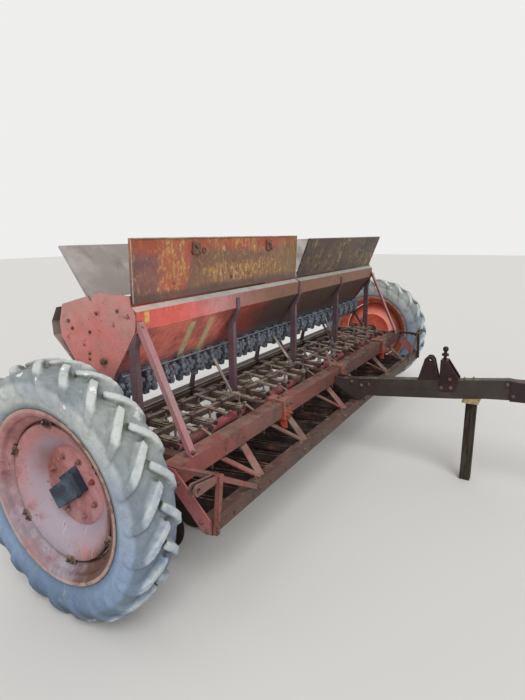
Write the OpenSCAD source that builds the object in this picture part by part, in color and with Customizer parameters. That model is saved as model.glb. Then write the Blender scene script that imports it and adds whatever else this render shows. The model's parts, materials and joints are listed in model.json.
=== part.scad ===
// Trailed grain and fertiliser seed drill, parked on its two wheels and a prop.
// Millimetres. +Z is up, the tongue points to -Y, the axle runs along X.
// Lengths along Y are measured from the axle and shifted once, by stand().

/* [Rows] */
// Number of rows that the drill sows
row_count = 24; // [20:2:28]
// Distance between two rows
row_gap = 150; // [146:1:156]

/* [Wheels] */
// Outer radius of a tyre, out to the tips of its lugs
tyre_r = 625; // [600:5:650]
// Width of a tyre
tyre_w = 240; // [220:5:255]
// Height of a tread lug
lug_h = 34; // [24:1:40]
// Number of lugs on each side of a tyre
lug_count = 22; // [18:1:24]
// Radius of a rim's outer flange
rim_r = 425; // [410:1:440]
// Clearance between a beam's end and the tyre beside it
wheel_gap = 178; // [165:1:200]
// Radius of a stub axle
axle_r = 28; // [24:1:28]

/* [Frame] */
// Section of the upper beam
upper_size = 100; // [80:1:110]
// Height of the upper beam's top above the floor
upper_top = 704; // [694:1:714]
// Distance of the upper beam's front face ahead of the axle
upper_front = 413; // [400:1:425]
// Height of the lower beam's section
lower_h = 80; // [70:1:90]
// Depth of the lower beam's section
lower_d = 60; // [50:1:66]
// Height of the lower beam's top above the floor
lower_top = 490; // [480:1:500]
// Distance of the lower beam's front face ahead of the axle
lower_front = 614; // [604:1:630]
// Half the length of both front beams
beam_half = 1922; // [1900:1:1940]
// Wall of the two front beams
beam_wall = 8; // [6:0.5:10]
// Width of a fore and aft rail
rail_w = 60; // [50:1:62]
// Height of a fore and aft rail
rail_h = 50; // [40:1:54]
// Distance of the rear beam's front face behind the axle
rear_front = 311; // [300:1:330]
// Section of the rear beam
rear_size = 100; // [80:1:110]
// Wall of the rear beam
rear_wall = 4; // [4:0.5:6]

/* [Box] */
// Length of one hopper
hopper_len = 1785; // [1770:1:1790]
// Gap between the two hoppers
hopper_gap = 30; // [20:1:40]
// Thickness of the hopper sheet
sheet = 3; // [2:0.5:4]
// Height of the front lids
front_lid_w = 322; // [305:1:324]
// Width of the rear lids
rear_lid_w = 372; // [350:1:380]
// Angle at which the right front lid leans forward
right_lean = 2; // [0:1:5]
// Angle at which the left front lid leans forward
left_lean = 21; // [5:1:21]
// Angle of the open rear lids above level
rear_open = 51; // [40:1:54]
// Gap between a lid and the box ends beside it
lid_gap = 6; // [5:0.5:10]

/* [Openers] */
// Radius of an opener disc
disc_r = 175; // [160:1:178]
// Height of an opener disc above the floor
disc_clear = 10; // [8:1:20]
// Distance of the front discs ahead of the axle
front_disc = 60; // [40:1:80]
// Distance of the rear discs behind the axle
rear_disc = 220; // [200:1:240]
// Radius of a pressure rod
rod_r = 7; // [6:0.5:8]
// Radius of a pressure spring
spring_r = 18; // [15:0.5:18]
// Side of the square fork shafts
fork_shaft = 32; // [28:1:36]
// Length of a fork from its shaft to its rod
fork_len = 132; // [120:1:140]

/* [Tongue] */
// Width of the tongue channel
tongue_w = 70; // [60:1:80]
// Depth of the tongue channel
tongue_h = 138; // [126:1:146]
// Sideways place of the tongue
tongue_x = 50; // [30:1:60]
// Distance of the hitch pin ahead of the axle
hitch_y = 2580; // [2500:10:2650]
// Radius of the hitch pin's hole
hitch_r = 17; // [14:1:20]
// Distance of the prop ahead of the axle
prop_y = 1440; // [1400:5:1480]
// Side of the prop's square post
prop_size = 70; // [60:1:80]

/* [Hidden] */
$fn = 48;
eps = 0.01;

axle_z = tyre_r;
rear_end = 900;
front_end = hitch_y + 50;
wheel_x = beam_half + wheel_gap + tyre_w / 2;
stand_y = (front_end - rear_end) / 2;
beam_z = upper_top - upper_size;
rail_top = upper_top;
rail_z = rail_top - rail_h;
box_half = hopper_gap / 2 + hopper_len;
rail_places = [-1800, -905, 0, 905, 1800];
rail_out = rail_places[4] + rail_w / 2;
row_half = (row_count - 1) * row_gap / 2;
function row_x(i) = -row_half + i * row_gap;
front_rows = [for (i = [0 : 2 : row_count - 1]) row_x(i)];
rear_rows = [for (i = [1 : 2 : row_count - 1]) row_x(i)];

// Shared shapes
module stand() { translate([0, stand_y, 0]) children(); }

module tube_x(half, y0, z0, d, h, t) {
    translate([-half, y0, z0]) difference() {
        cube([2 * half, d, h]);
        translate([-1, t, t]) cube([2 * half + 2, d - 2 * t, h - 2 * t]);
    }
}

module side_plate(x0, t, points) {
    translate([x0, 0, 0]) rotate([90, 0, 90]) linear_extrude(t) polygon(points);
}

module front_plate(y0, t, s, points) {
    translate([0, y0 + t, 0]) rotate([90, 0, 0]) linear_extrude(t) polygon([for (p = points) [s * p[0], p[1]]]);
}

module strut(a, b, w, t) {
    d = b - a;
    len = norm(d);
    translate(a) rotate([0, acos(d[2] / len), atan2(d[1], d[0])])
        translate([-t / 2, -w / 2, 0]) cube([t, w, len]);
}

module rod_x(x0, x1, y, z, r) {
    translate([x0, y, z]) rotate([0, 90, 0]) cylinder(r = r, h = x1 - x0);
}

// A bent sheet: its outer path and the same path moved inwards by the sheet's thickness
function unit(v) = v / norm(v);
function left_of(v) = [-v[1], v[0]];
function edge_dir(p, i) = unit(p[i + 1] - p[i]);
function inner_point(p, i, t) =
    i == 0 ? p[0] + left_of(edge_dir(p, 0)) * t :
    i == len(p) - 1 ? p[i] + left_of(edge_dir(p, i - 1)) * t :
    let (a = left_of(edge_dir(p, i - 1)), b = left_of(edge_dir(p, i)))
    p[i] + (a + b) * t / (1 + a * b);
function bent(p, t) = concat(p, [for (i = [len(p) - 1 : -1 : 0]) inner_point(p, i, t)]);

// Front frame
module upper_beam() {
    color("indianred") stand() tube_x(beam_half, -upper_front, beam_z, upper_size, upper_size, beam_wall);
}

module lower_beam() {
    color("rosybrown") stand()
        tube_x(beam_half, -lower_front, lower_top - lower_h, lower_d, lower_h, beam_wall);
}

// Clamps on the upper beam, each around it with a wall of its own
clamp_places = [-832, 165, 1265];
clamp_lever_off = [-13, 14, 0];
clamp_w = 84;
clamp_t = 14;
clamp_rib_r = 7;
module clamp_block(x) {
    side = upper_size + 2 * clamp_t;
    translate([x, -upper_front - clamp_t, beam_z - clamp_t]) {
        translate([-clamp_w / 2, 0, 0]) cube([clamp_w, side, side]);
        for (i = [-2 : 2]) translate([i * (clamp_w / 2 - clamp_rib_r) / 2, 0, 0]) {
            cylinder(r = clamp_rib_r, h = side + clamp_rib_r, $fn = 16);
            translate([0, -clamp_rib_r, side]) rotate([-90, 0, 0])
                cylinder(r = clamp_rib_r, h = side + clamp_rib_r, $fn = 16);
        }
    }
}

// Each brace: place on the lower beam, place on the upper beam
brace_w = 46;
brace_t = 8;
brace_spread = 117;
brace_apexes = [-1440, -895, -214, 214, 895, 1440];
braces = [for (a = brace_apexes, s = [-1, 1]) [a, a + s * brace_spread]];
module truss_braces() {
    color("indianred") stand() difference() {
        for (b = braces) strut([b[0], -lower_front + 20, lower_top - 8], [b[1], -upper_front + 40, beam_z + 8],
            brace_w, brace_t);
        translate([-beam_half, -lower_front, lower_top - lower_h]) cube([2 * beam_half, lower_d, lower_h]);
        translate([-beam_half, -upper_front, beam_z]) cube([2 * beam_half, upper_size, upper_size]);
        for (x = clamp_places) clamp_block(x);
    }
}

module frame_ends() {
    color("firebrick") stand() for (s = [-1, 1])
        side_plate(s * (beam_half + 5) - 5, 10, [[-upper_front + 10, upper_top - 5],
            [-upper_front + 70, upper_top - 5], [-upper_front + 70, upper_top - 60],
            [-lower_front + 50, lower_top - lower_h + 5], [-lower_front + 5, lower_top - lower_h + 5],
            [-lower_front + 5, lower_top - 5]]);
}

module frame_rails() {
    y0 = -upper_front + upper_size;
    color("saddlebrown") stand() for (x = rail_places)
        translate([x - rail_w / 2, y0, rail_z]) difference() {
            cube([rail_w, rear_front - y0, rail_h]);
            translate([5, -1, 5]) cube([rail_w - 10, rear_front - y0 + 2, rail_h - 10]);
        }
}

module rear_beam() {
    color("saddlebrown") stand()
        tube_x(rail_out, rear_front, rail_top - rear_size, rear_size, rear_size, rear_wall);
}

// An axle bracket stands on the outer face of an end rail, beside the lift shaft's flange
bracket_half = 45;
bracket_t = 20;
boss_len = 40;
module axle_brackets() {
    top = max(rail_top, axle_z + bracket_half);
    color("indianred") stand() for (s = [-1, 1]) difference() {
        union() {
            side_plate(s > 0 ? rail_out : -rail_out - bracket_t, bracket_t, [[-bracket_half, axle_z],
                [bracket_half, axle_z], [bracket_half, top], [-bracket_half, top]]);
            rod_x(s > 0 ? rail_out : -rail_out - bracket_t - boss_len,
                s > 0 ? rail_out + bracket_t + boss_len : -rail_out, 0, axle_z, bracket_half);
        }
        rod_x(s * (rail_out + 50) - 100, s * (rail_out + 50) + 100, 0, axle_z, axle_r + 0.1);
    }
}

axle_in = rail_out + 0.3;
axle_out = wheel_x + 40;
module stub_axles() {
    color("dimgray") stand() for (s = [-1, 1])
        rod_x(min(s * axle_in, s * axle_out), max(s * axle_in, s * axle_out), 0, axle_z, axle_r);
}

// At each end a corner stands ahead of the beams on a post and two bars, and carries two ears for a marker arm
corner_x = beam_half - 52;
corner_half = 17;
corner_top = upper_top - 2;
corner_deep = 50;
bar_t = 22;
flat_h = 33;
flat_foot = beam_half - 396;
eye_x = beam_half + 108;
eye_z = 700;
eye_r = 13;
ear_t = 12;
module marker_brackets() {
    y0 = -lower_front - 25;
    post_foot = lower_top - lower_h + 6;
    color("indianred") stand() for (s = [-1, 1]) difference() {
        union() {
            translate([s * corner_x - corner_half, y0, corner_top - 30])
                cube([2 * corner_half, corner_deep, 30]);
            front_plate(y0, 25, s, [[beam_half - 22, post_foot], [beam_half, post_foot],
                [corner_x + 14, corner_top - 20], [corner_x - 12, corner_top - 20]]);
            front_plate(-lower_front - 8, 8, s, [[flat_foot, lower_top - flat_h], [flat_foot, lower_top - 2],
                [corner_x, corner_top], [corner_x, corner_top - flat_h]]);
            translate([0, 0, upper_top - bar_t]) linear_extrude(bar_t) polygon([
                [s * (beam_half - 26), -upper_front], [s * beam_half, -upper_front],
                [s * (corner_x + 14), y0 + 20], [s * (corner_x - 14), y0 + 20]]);
            for (y = [y0 + 9, y0 + corner_deep - ear_t]) translate([0, y, 0]) {
                front_plate(0, ear_t, s, [[corner_x, corner_top - 30], [corner_x, corner_top],
                    [eye_x, eye_z + 27], [eye_x, eye_z - 27]]);
                translate([s * eye_x, 0, eye_z]) rotate([-90, 0, 0]) cylinder(r = 27, h = ear_t);
            }
        }
        translate([s * eye_x, y0 - 1, eye_z]) rotate([-90, 0, 0]) cylinder(r = eye_r, h = corner_deep + 2);
    }
}

lever_t = 14;
module beam_clamps() {
    color("orangered") stand() for (i = [0 : len(clamp_places) - 1]) difference() {
        union() {
            clamp_block(clamp_places[i]);
            side_plate(clamp_places[i] + clamp_lever_off[i] - lever_t / 2, lever_t, [
                [-upper_front - clamp_t, beam_z], [-upper_front - clamp_t, beam_z - clamp_t],
                [-upper_front - 20, beam_z - 80], [-upper_front + 10, beam_z - 80],
                [-upper_front + 60, beam_z - clamp_t], [-upper_front + 60, beam_z]]);
        }
        translate([clamp_places[i] - clamp_w, -upper_front - eps, beam_z - eps])
            cube([2 * clamp_w, upper_size + 2 * eps, upper_size + 2 * eps]);
    }
}

// Tongue: lower edge of the rear beam from its heel to the knee, then of its nose
heel = [-upper_front - 60, 512];
knee = [-1335, 621];
bend = [-1536, 654];
nose = [-1771, 677];
tip = [-2450, 700];
bent_top = [-1665, 806];
nose_h = 120;
tongue_wall = 12;
module tongue_beam() {
    t = tongue_wall;
    under = [heel, knee, bend, nose];
    over = [for (p = under) [p[0], p[1] + tongue_h]];
    color("dimgray") stand() difference() {
        side_plate(tongue_x - tongue_w / 2, tongue_w, concat(under, [nose + [0, nose_h]], [bent_top],
            [for (i = [1 : -1 : 0]) over[i]]));
        side_plate(tongue_x - tongue_w / 2 + t, tongue_w, concat([heel + [1, t], knee + [0, t],
            bend + [0, t], nose + [-1, t], nose + [-1, nose_h - t], bent_top - [0, t]],
            [for (i = [1, 0]) over[i] + [1 - i, -t]]));
    }
}

module tongue_nose() {
    color("maroon") stand() for (s = [-1, 1])
        side_plate(tongue_x + s * (tongue_w / 2 + 6) - 6, 12, [[nose[0] + 90, nose[1] - 14],
            [nose[0] + 90, bent_top[1] - 6], [tip[0], tip[1] + 110], [tip[0] - 60, tip[1] + 90],
            [tip[0] - 60, tip[1] + 20], [tip[0], tip[1]]]);
}

clevis_t = 16;
clevis_z = tip[1] + 25;
clevis_h = 60;
module hitch_clevis() {
    color("maroon") stand() translate([tongue_x, -hitch_y, clevis_z]) difference() {
        union() {
            translate([-tongue_w / 2, 60, -clevis_t / 2]) cube([tongue_w, 90, clevis_h]);
            for (z = [0, clevis_h - clevis_t]) translate([0, 0, z - clevis_t / 2]) linear_extrude(clevis_t)
                difference() {
                    union() {
                        circle(r = 50);
                        translate([-tongue_w / 2, 0]) square([tongue_w, 80]);
                    }
                    circle(r = hitch_r);
                }
        }
    }
}

module tongue_cheeks() {
    color("dimgray") stand() for (s = [-1, 1])
        side_plate(tongue_x + s * (tongue_w / 2 + 6) - 6, 12, [[-upper_front, beam_z + 60],
            [-upper_front, beam_z - 4], [-lower_front + 10, lower_top], [-lower_front - 20, lower_top],
            [-lower_front - 120, 600], [-lower_front - 120, 660], [-lower_front, 650]]);
}

function tongue_over(y) = heel[1] + tongue_h + (knee[1] - heel[1]) * (y - heel[0]) / (knee[0] - heel[0]);
lug_hole = [-1139, 876];
lug_t = 16;
module cylinder_lugs() {
    color("maroon") stand() for (s = [-1, 1]) difference() {
        side_plate(tongue_x + s * 24 - lug_t / 2, lug_t, [[lug_hole[0] + 76, tongue_over(lug_hole[0] + 76)],
            lug_hole + [33, 12], lug_hole + [14, 34], lug_hole + [-14, 34], lug_hole + [-33, 12],
            [lug_hole[0] - 72, tongue_over(lug_hole[0] - 72)]]);
        translate([tongue_x + s * 24 - lug_t, lug_hole[0], lug_hole[1]]) rotate([0, 90, 0])
            cylinder(r = 13, h = 2 * lug_t);
    }
}

// The tower is a plate on each side of the tongue, with a knobbed pin on the block between them
tower = [-1218, 894];
tower_t = 8;
tower_top = 45;
tower_foot = [-1349, 771];
pin_top = 988;
module lift_tower() {
    color("maroon") stand() {
        for (s = [-1, 1]) side_plate(tongue_x + s * (tongue_w + tower_t) / 2 - tower_t / 2, tower_t, [tower,
            tower - [tower_top, 0], tower_foot, [tower_foot[0] + 20, tongue_under(tower_foot[0]) + 54],
            [tower[0] - 18, tongue_under(tower[0]) + 55], [tower[0], tongue_over(tower[0]) - 40]]);
        translate([tongue_x - tongue_w / 2 - 1, tower[0] - tower_top, tower[1] - 14])
            cube([tongue_w + 2, tower_top, 14]);
        translate([tongue_x, tower[0] - tower_top / 2, 0]) rotate_extrude() polygon([[0, tower[1] - 1],
            [11, tower[1] - 1], [11, 918], [24, 922], [24, 936], [11, 940], [11, 952], [17, 958], [20, 970],
            [17, 982], [9, pin_top], [0, pin_top]]);
    }
}

prop_x = 78;
prop_top = 616;
module prop_post() {
    color("sienna") stand() translate([prop_x - prop_size / 2, -prop_y - prop_size / 2, 0])
        cube([prop_size, prop_size, prop_top]);
}

function tongue_under(y) = lookup(y, [nose, bend, knee, heel]);
module prop_board() {
    y0 = -prop_y - 55;
    y1 = -prop_y + 55;
    color("tan") stand() side_plate(prop_x - 110, 220, [[y0, prop_top], [y1, prop_top],
        [y1, tongue_under(y1)], [y0, tongue_under(y0)]]);
}

// Box: outer path of the front wall, bottom and rear wall, then the crown of its ends
fascia = [-91.5, 1411];
fascia_foot = [fascia[0], 1316];
wall_foot = [98, 1058];
box_bottom = [150, 945];
box_path = [[-60, 1434], fascia, fascia_foot, wall_foot, box_bottom, [290, box_bottom[1]], [378, 1064],
    [504, 1236], [508, 1315], [492, 1352]];
ridge = [232, 1420];
rear_hinge = [233.5, 1439];
notch = [[258, 1474], [241, 1452], [226, 1452], [210, 1486]];
crown = concat([[471, 1419]], notch, [[169, 1497], [-36, 1491], [-56, 1491], [-58, 1440], [-72, 1424],
    [-83, 1402], [-87, 1374]]);
module hopper(x0) {
    translate([x0, 0, 0]) rotate([90, 0, 90]) linear_extrude(hopper_len - 2 * sheet) union() {
        polygon(bent(box_path, sheet));
        translate([ridge[0], 945 + sheet / 2]) square([sheet, ridge[1] - 945 - sheet / 2]);
    }
}

module hopper_right() { color("firebrick") stand() hopper(-box_half + sheet); }
module hopper_left() { color("brown") stand() hopper(hopper_gap / 2 + sheet); }

end_path = concat([[-84, 1340], [-72, 1301]], [for (i = [3 : 8]) box_path[i]], crown);
module box_ends(x0) {
    for (x = [x0, x0 + hopper_len - sheet]) side_plate(x, sheet, end_path);
}

module box_ends_right() { color("salmon") stand() box_ends(-box_half); }
module box_ends_left() { color("brown") stand() box_ends(hopper_gap / 2); }

// The shields hang behind the rear wall and follow its bends at this distance
shield_off = 70;
shield_t = 1.5;
module rear_shields() {
    path = [box_path[6] + [5, 3.6], box_path[6] + [25, 16.6], box_path[7] + [shield_off + 1, -1],
        box_path[8] + [shield_off, 0], box_path[8] + [17, 83]];
    color("silver") stand() for (x0 = [-box_half, hopper_gap / 2]) translate([x0, 0, 0])
        rotate([90, 0, 90]) linear_extrude(hopper_len) polygon(bent(path, shield_t));
}

// Front lids turn on a rail between the crowns of the box ends
front_hinge = [-46, 1484];
hinge_r = 5;
module lid_rails() {
    color("dimgray") stand() for (x0 = [-box_half, hopper_gap / 2]) {
        rod_x(x0 + sheet, x0 + hopper_len - sheet, front_hinge[0], front_hinge[1], hinge_r);
        rod_x(x0 + sheet, x0 + hopper_len - sheet, rear_hinge[0], rear_hinge[1], hinge_r);
    }
}

lid_len = hopper_len - 2 * sheet - 2 * lid_gap;
lid_off = 22;
lid_below = 35;
lip = 14;
knuckle_r = 10;
tab_r = 13;
module front_lid(x0, lean) {
    translate([x0 + sheet + lid_gap, front_hinge[0], front_hinge[1]]) rotate([lean, 0, 0]) {
        translate([0, -lid_off, -lid_below]) cube([lid_len, sheet, front_lid_w]);
        for (x = [0, lid_len - sheet]) translate([x, -lid_off, -lid_below]) cube([sheet, lip, front_lid_w]);
        translate([0, -lid_off, front_lid_w - lid_below - sheet]) cube([lid_len, lip, sheet]);
        for (i = [0 : 3]) translate([80 + i * (lid_len - 220) / 3, 0, 0]) rotate([0, 90, 0]) difference() {
            union() {
                cylinder(r = knuckle_r, h = 60);
                translate([-knuckle_r, -lid_off + sheet / 2, 0]) cube([2 * knuckle_r, lid_off - sheet / 2, 60]);
            }
            translate([0, 0, -1]) cylinder(r = hinge_r + 0.05, h = 62);
        }
    }
}

module front_lid_right() { color("sienna") stand() front_lid(-box_half, right_lean); }
module front_lid_left() { color("sienna") stand() front_lid(hopper_gap / 2, left_lean); }

module rear_lid(x0) {
    translate([x0 + sheet + lid_gap, rear_hinge[0], rear_hinge[1]]) rotate([rear_open, 0, 0]) {
        translate([0, 14, knuckle_r - sheet]) cube([lid_len, rear_lid_w - 14, sheet]);
        for (x = [0, lid_len - sheet]) translate([x, 0, 0]) rotate([90, 0, 90]) linear_extrude(sheet)
            difference() {
                union() {
                    circle(r = tab_r);
                    polygon([[0, -tab_r], [60, -lip], [rear_lid_w, 2], [rear_lid_w, knuckle_r],
                        [0, knuckle_r]]);
                }
                circle(r = hinge_r + 0.05);
            }
        for (i = [0 : 3]) translate([80 + i * (lid_len - 220) / 3, 0, 0]) difference() {
            union() {
                rotate([0, 90, 0]) cylinder(r = knuckle_r, h = 60);
                translate([0, 0, knuckle_r - sheet]) cube([60, 20, sheet]);
            }
            translate([-1, 0, 0]) rotate([0, 90, 0]) cylinder(r = hinge_r + 0.05, h = 62);
        }
    }
}

module rear_lid_right() { color("silver") stand() rear_lid(-box_half); }
module rear_lid_left() { color("silver") stand() rear_lid(hopper_gap / 2); }

// Stands that carry the box on the rails: the inner ones lap the fascia, the end ones stop under the wall
foot_y = -39;
stand_w = 35;
stand_top = 1383;
function wall_z(y) = lookup(y, [fascia_foot, wall_foot]) - 0.6;
function lower_wall_y(z) = lookup(z, [[box_bottom[1], box_bottom[0]], [wall_foot[1], wall_foot[0]]]);
stand_lap = [fascia_foot - [0.6, 0], [fascia[0] - 0.6, stand_top], [fascia[0] - 7, stand_top],
    [fascia[0] - 9, fascia_foot[1] - 8]];
stand_end = [[foot_y - 40, wall_z(foot_y - 40)], [foot_y - 38, 1262]];
module box_stands() {
    color("rosybrown") stand() for (x = rail_places) {
        xi = x * (box_half - stand_w / 2 - sheet) / rail_places[4];
        side_plate(xi - stand_w / 2, stand_w, concat([[foot_y - 22, rail_top], [foot_y + 22, rail_top],
            [foot_y + 22, wall_z(foot_y + 22)]], abs(x) < rail_places[4] ? stand_lap : stand_end,
            [[foot_y - 22, 1215]]));
        side_plate(xi - 4, 8, [[foot_y + 22, rail_top + 12], [foot_y + 22, rail_top + 46],
            [lower_wall_y(985) - 0.6, 985], [lower_wall_y(960) - 0.6, 960]]);
        side_plate(xi - 8, 16, [[265, box_bottom[1]], [290, box_bottom[1]], [rear_front + 40, rail_top],
            [rear_front + 5, rail_top]]);
    }
}

// An angle section from the upper beam to the fascia at each end of the box
strut_w = 40;
strut_t = 8;
strut_top = 1362;
module end_struts() {
    color("palevioletred") stand() for (s = [-1, 1]) {
        side_plate(s * (box_half - strut_w / 2) - strut_w / 2, strut_w, [[-upper_front + 4, upper_top],
            [-upper_front + 4 + strut_t, upper_top], [fascia[0] - 12 + strut_t, strut_top],
            [fascia[0] - 12, strut_top]]);
        side_plate(s * (box_half - strut_t / 2) - strut_t / 2, strut_t, [[-upper_front + 4, upper_top],
            [-upper_front + 34, upper_top], [fascia[0], strut_top - 46], [fascia[0], strut_top],
            [fascia[0] - 12, strut_top]]);
    }
}

// A seed meter is a fluted housing under the front wall with an outlet below it and a slide above its shaft
meter_y = 92;
meter_z = 985;
feed_r = 10;
meter_w = 66;
outlet_w = 38;
module seed_meters() {
    color("slategray") stand() for (i = [0 : row_count - 1]) difference() {
        union() {
            side_plate(row_x(i) - meter_w / 2, meter_w, [[97.6, 1057.4], [149, 945.4], [132, 938], [86, 944],
                [66, 966], [64, 1002], [76, 1034]]);
            side_plate(row_x(i) - outlet_w / 2, outlet_w, [[86, 946], [132, 940], [122, 896], [96, 892]]);
            side_plate(row_x(i) + meter_w / 2 - 14, 8, [[70, 1000], [40, 1022], [46, 1034], [80, 1030]]);
            rod_x(row_x(i) - meter_w / 2 - 9, row_x(i) + meter_w / 2 + 9, meter_y, meter_z, 19);
        }
        rod_x(row_x(i) - 50, row_x(i) + 50, meter_y, meter_z, feed_r + 0.05);
    }
}

fert_y = 350;
fert_z = 990;
fert_w = 50;
module fertiliser_meters() {
    color("slategray") stand() for (i = [0 : row_count - 1]) difference() {
        union() {
            side_plate(row_x(i) - fert_w / 2, fert_w, [[291, 945.6], [377, 1062], [386, 1040], [378, 975],
                [352, 958], [310, 936]]);
            side_plate(row_x(i) - outlet_w / 2, outlet_w, [[320, 940], [352, 958], [350, 905], [326, 905]]);
        }
        rod_x(row_x(i) - 50, row_x(i) + 50, fert_y, fert_z, feed_r + 0.05);
    }
}

module feed_shafts() {
    half = box_half - 10;
    color("dimgray") stand() {
        rod_x(-half, half, meter_y, meter_z, feed_r);
        rod_x(-half, half, fert_y, fert_z, feed_r);
    }
}

// Lift: a round shaft under the rails and two square shafts above them
lift_y = -120;
lift_r = 30;
lift_z = rail_z - lift_r - 8;
fork_z = rail_top + 32;
front_fork_y = -108;
rear_fork_y = 92;
shaft_half = rail_out - 4;
flange_x = rail_places[4] - 110;
flange_r = 76;
journal_r = 22;
module shaft_bearings() {
    color("saddlebrown") stand() for (x = rail_places) {
        for (y = [front_fork_y, rear_fork_y]) difference() {
            translate([x - 12, y - 28, rail_top]) cube([24, 56, 60]);
            rod_x(x - 20, x + 20, y, fork_z, journal_r + 0.08);
        }
        difference() {
            translate([x - 15, lift_y - 45, lift_z - 45]) cube([30, 90, rail_z - lift_z + 45]);
            rod_x(x - 20, x + 20, lift_y, lift_z, lift_r + 0.08);
        }
    }
}

module lift_shaft() {
    color("palevioletred") stand() {
        rod_x(-shaft_half, shaft_half, lift_y, lift_z, lift_r);
        for (s = [-1, 1]) difference() {
            rod_x(s * flange_x - 10, s * flange_x + 10, lift_y, lift_z, flange_r);
            rod_x(s * flange_x - 11, s * flange_x + 11, lift_y + 52, lift_z, 12);
        }
    }
}

fork_gap = 48;
fork_t = 8;
module fork_set(rows, y) {
    translate([0, y, fork_z]) {
        for (i = [1 : 4]) translate([rail_places[i - 1] + 13, -fork_shaft / 2, -fork_shaft / 2])
            cube([rail_places[i] - rail_places[i - 1] - 26, fork_shaft, fork_shaft]);
        for (x = rail_places) rod_x(x - 14, x + 14, 0, 0, journal_r);
        for (x = rows) {
            translate([x - fork_gap / 2 - fork_t, -28, -26]) cube([fork_gap + 2 * fork_t, 50, 52]);
            for (s = [-1, 1]) translate([x + s * (fork_gap + fork_t) / 2 - fork_t / 2, -fork_len - 30, -28])
                cube([fork_t, fork_len + 20, 26]);
        }
    }
}

module fork_shaft_front() { color("saddlebrown") stand() fork_set(front_rows, front_fork_y); }
module fork_shaft_rear() { color("saddlebrown") stand() fork_set(rear_rows, rear_fork_y); }

// Openers: arm pivots behind the lower beam, disc places, rod places
pivot = [-lower_front + lower_d + 30, 450];
disc_z = disc_clear + disc_r;
arm_t = 12;
rod_top = 800;
spring_top = 696;
pin_r = 6;
pivot_r = 8;
rod_front_y = front_fork_y - fork_len;
rod_rear_y = rear_fork_y - fork_len;
arm_end_z = disc_z + disc_r + 30;
function arm_z(y, disc_y) = pivot[1] + (arm_end_z - pivot[1]) * (y - pivot[0]) / (disc_y - pivot[0]);
module rod_set(rows, y, disc_y) {
    z0 = arm_z(y, disc_y);
    for (x = rows) translate([x, y, 0]) difference() {
        union() {
            translate([0, 0, z0]) cylinder(r = rod_r, h = rod_top - z0);
            translate([0, 0, z0 + 90]) cylinder(r = spring_r, h = spring_top - z0 - 90);
            translate([0, 0, fork_z + 6]) cylinder(r = spring_r - 2, h = 14);
            rod_x(-8, 8, 0, z0, 14);
        }
        rod_x(-9, 9, 0, z0, pin_r + 0.08);
    }
}

module pressure_rods_front() { color("dimgray") stand() rod_set(front_rows, rod_front_y, -front_disc); }
module pressure_rods_rear() { color("dimgray") stand() rod_set(rear_rows, rod_rear_y, rear_disc); }

module arm_set(rows, disc_y, rod_y) {
    for (x = rows) {
        for (s = [-1, 1]) difference() {
            side_plate(x + s * 15 - arm_t / 2, arm_t, [pivot + [-16, -16], pivot + [-16, 16],
                pivot + [10, 18], [disc_y + 20, arm_end_z + 20], [disc_y + 30, arm_end_z],
                [disc_y + 20, arm_end_z - 20], [pivot[0] + 10, pivot[1] - 18]]);
            rod_x(x - 30, x + 30, pivot[0], pivot[1], pivot_r + 0.08);
        }
        rod_x(x - 12, x + 12, rod_y, arm_z(rod_y, disc_y), pin_r);
        translate([0, disc_y, disc_z]) difference() {
            side_plate(x - 9, 18, [[-22, -24], [22, -24], [26, 60], [44, disc_r - 10], [60, disc_r + 80],
                [0, disc_r + 96], [-34, disc_r + 50], [-44, disc_r + 8], [-26, 60]]);
            rod_x(x - 30, x + 30, 0, 0, 12.3);
        }
    }
}

module arm_hangers() {
    color("saddlebrown") stand() for (i = [0 : row_count - 1]) {
        translate([row_x(i) - 8, -lower_front + lower_d, pivot[1] - 14]) cube([16, 40, 28]);
        rod_x(row_x(i) - 24, row_x(i) + 24, pivot[0], pivot[1], pivot_r);
    }
}

module opener_arms_front() { color("saddlebrown") stand() arm_set(front_rows, -front_disc, rod_front_y); }
module opener_arms_rear() { color("saddlebrown") stand() arm_set(rear_rows, rear_disc, rod_rear_y); }

toe_in = 5;
disc_t = 3;
module disc_set(rows, y) {
    for (x = rows) translate([x, y, disc_z]) {
        for (s = [-1, 1]) translate([s * (disc_r * sin(toe_in) + 3), 0, 0]) rotate([0, 0, s * toe_in])
            rotate([0, 90, 0]) translate([0, 0, -disc_t / 2]) cylinder(r = disc_r, h = disc_t);
        rod_x(-disc_r * sin(toe_in) - 10, disc_r * sin(toe_in) + 10, 0, 0, 12);
    }
}

module opener_discs_front() { color("gray") stand() disc_set(front_rows, -front_disc); }
module opener_discs_rear() { color("gray") stand() disc_set(rear_rows, rear_disc); }

// A step behind the openers, carried by arms from the rear beam
board_z = 385;
board_t = 3;
board_front = 640;
board_half = box_half - 20;
board_arms = [-board_half + 30, -600, 600, board_half - 30];
module footboard() {
    beam_under = rail_top - rear_size;
    color("dimgray") stand() {
        translate([-board_half, board_front, board_z]) cube([2 * board_half, rear_end - board_front, board_t]);
        for (x = board_arms) side_plate(x - 20, 40, [[rear_front + 30, beam_under],
            [rear_front + rear_size - 10, beam_under], [board_front + 40, board_z], [board_front, board_z - 16],
            [board_front - 20, board_z - 16]]);
    }
}

// Wheels
tread_r = tyre_r - lug_h;
tyre_half = tyre_w / 2;
bead_half = tyre_half - 32;
bead_r = rim_r - 24;
lug_w = 32;
lug_angle = 42;
function wall_r(k) = rim_r + k * (tread_r - rim_r);

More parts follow.
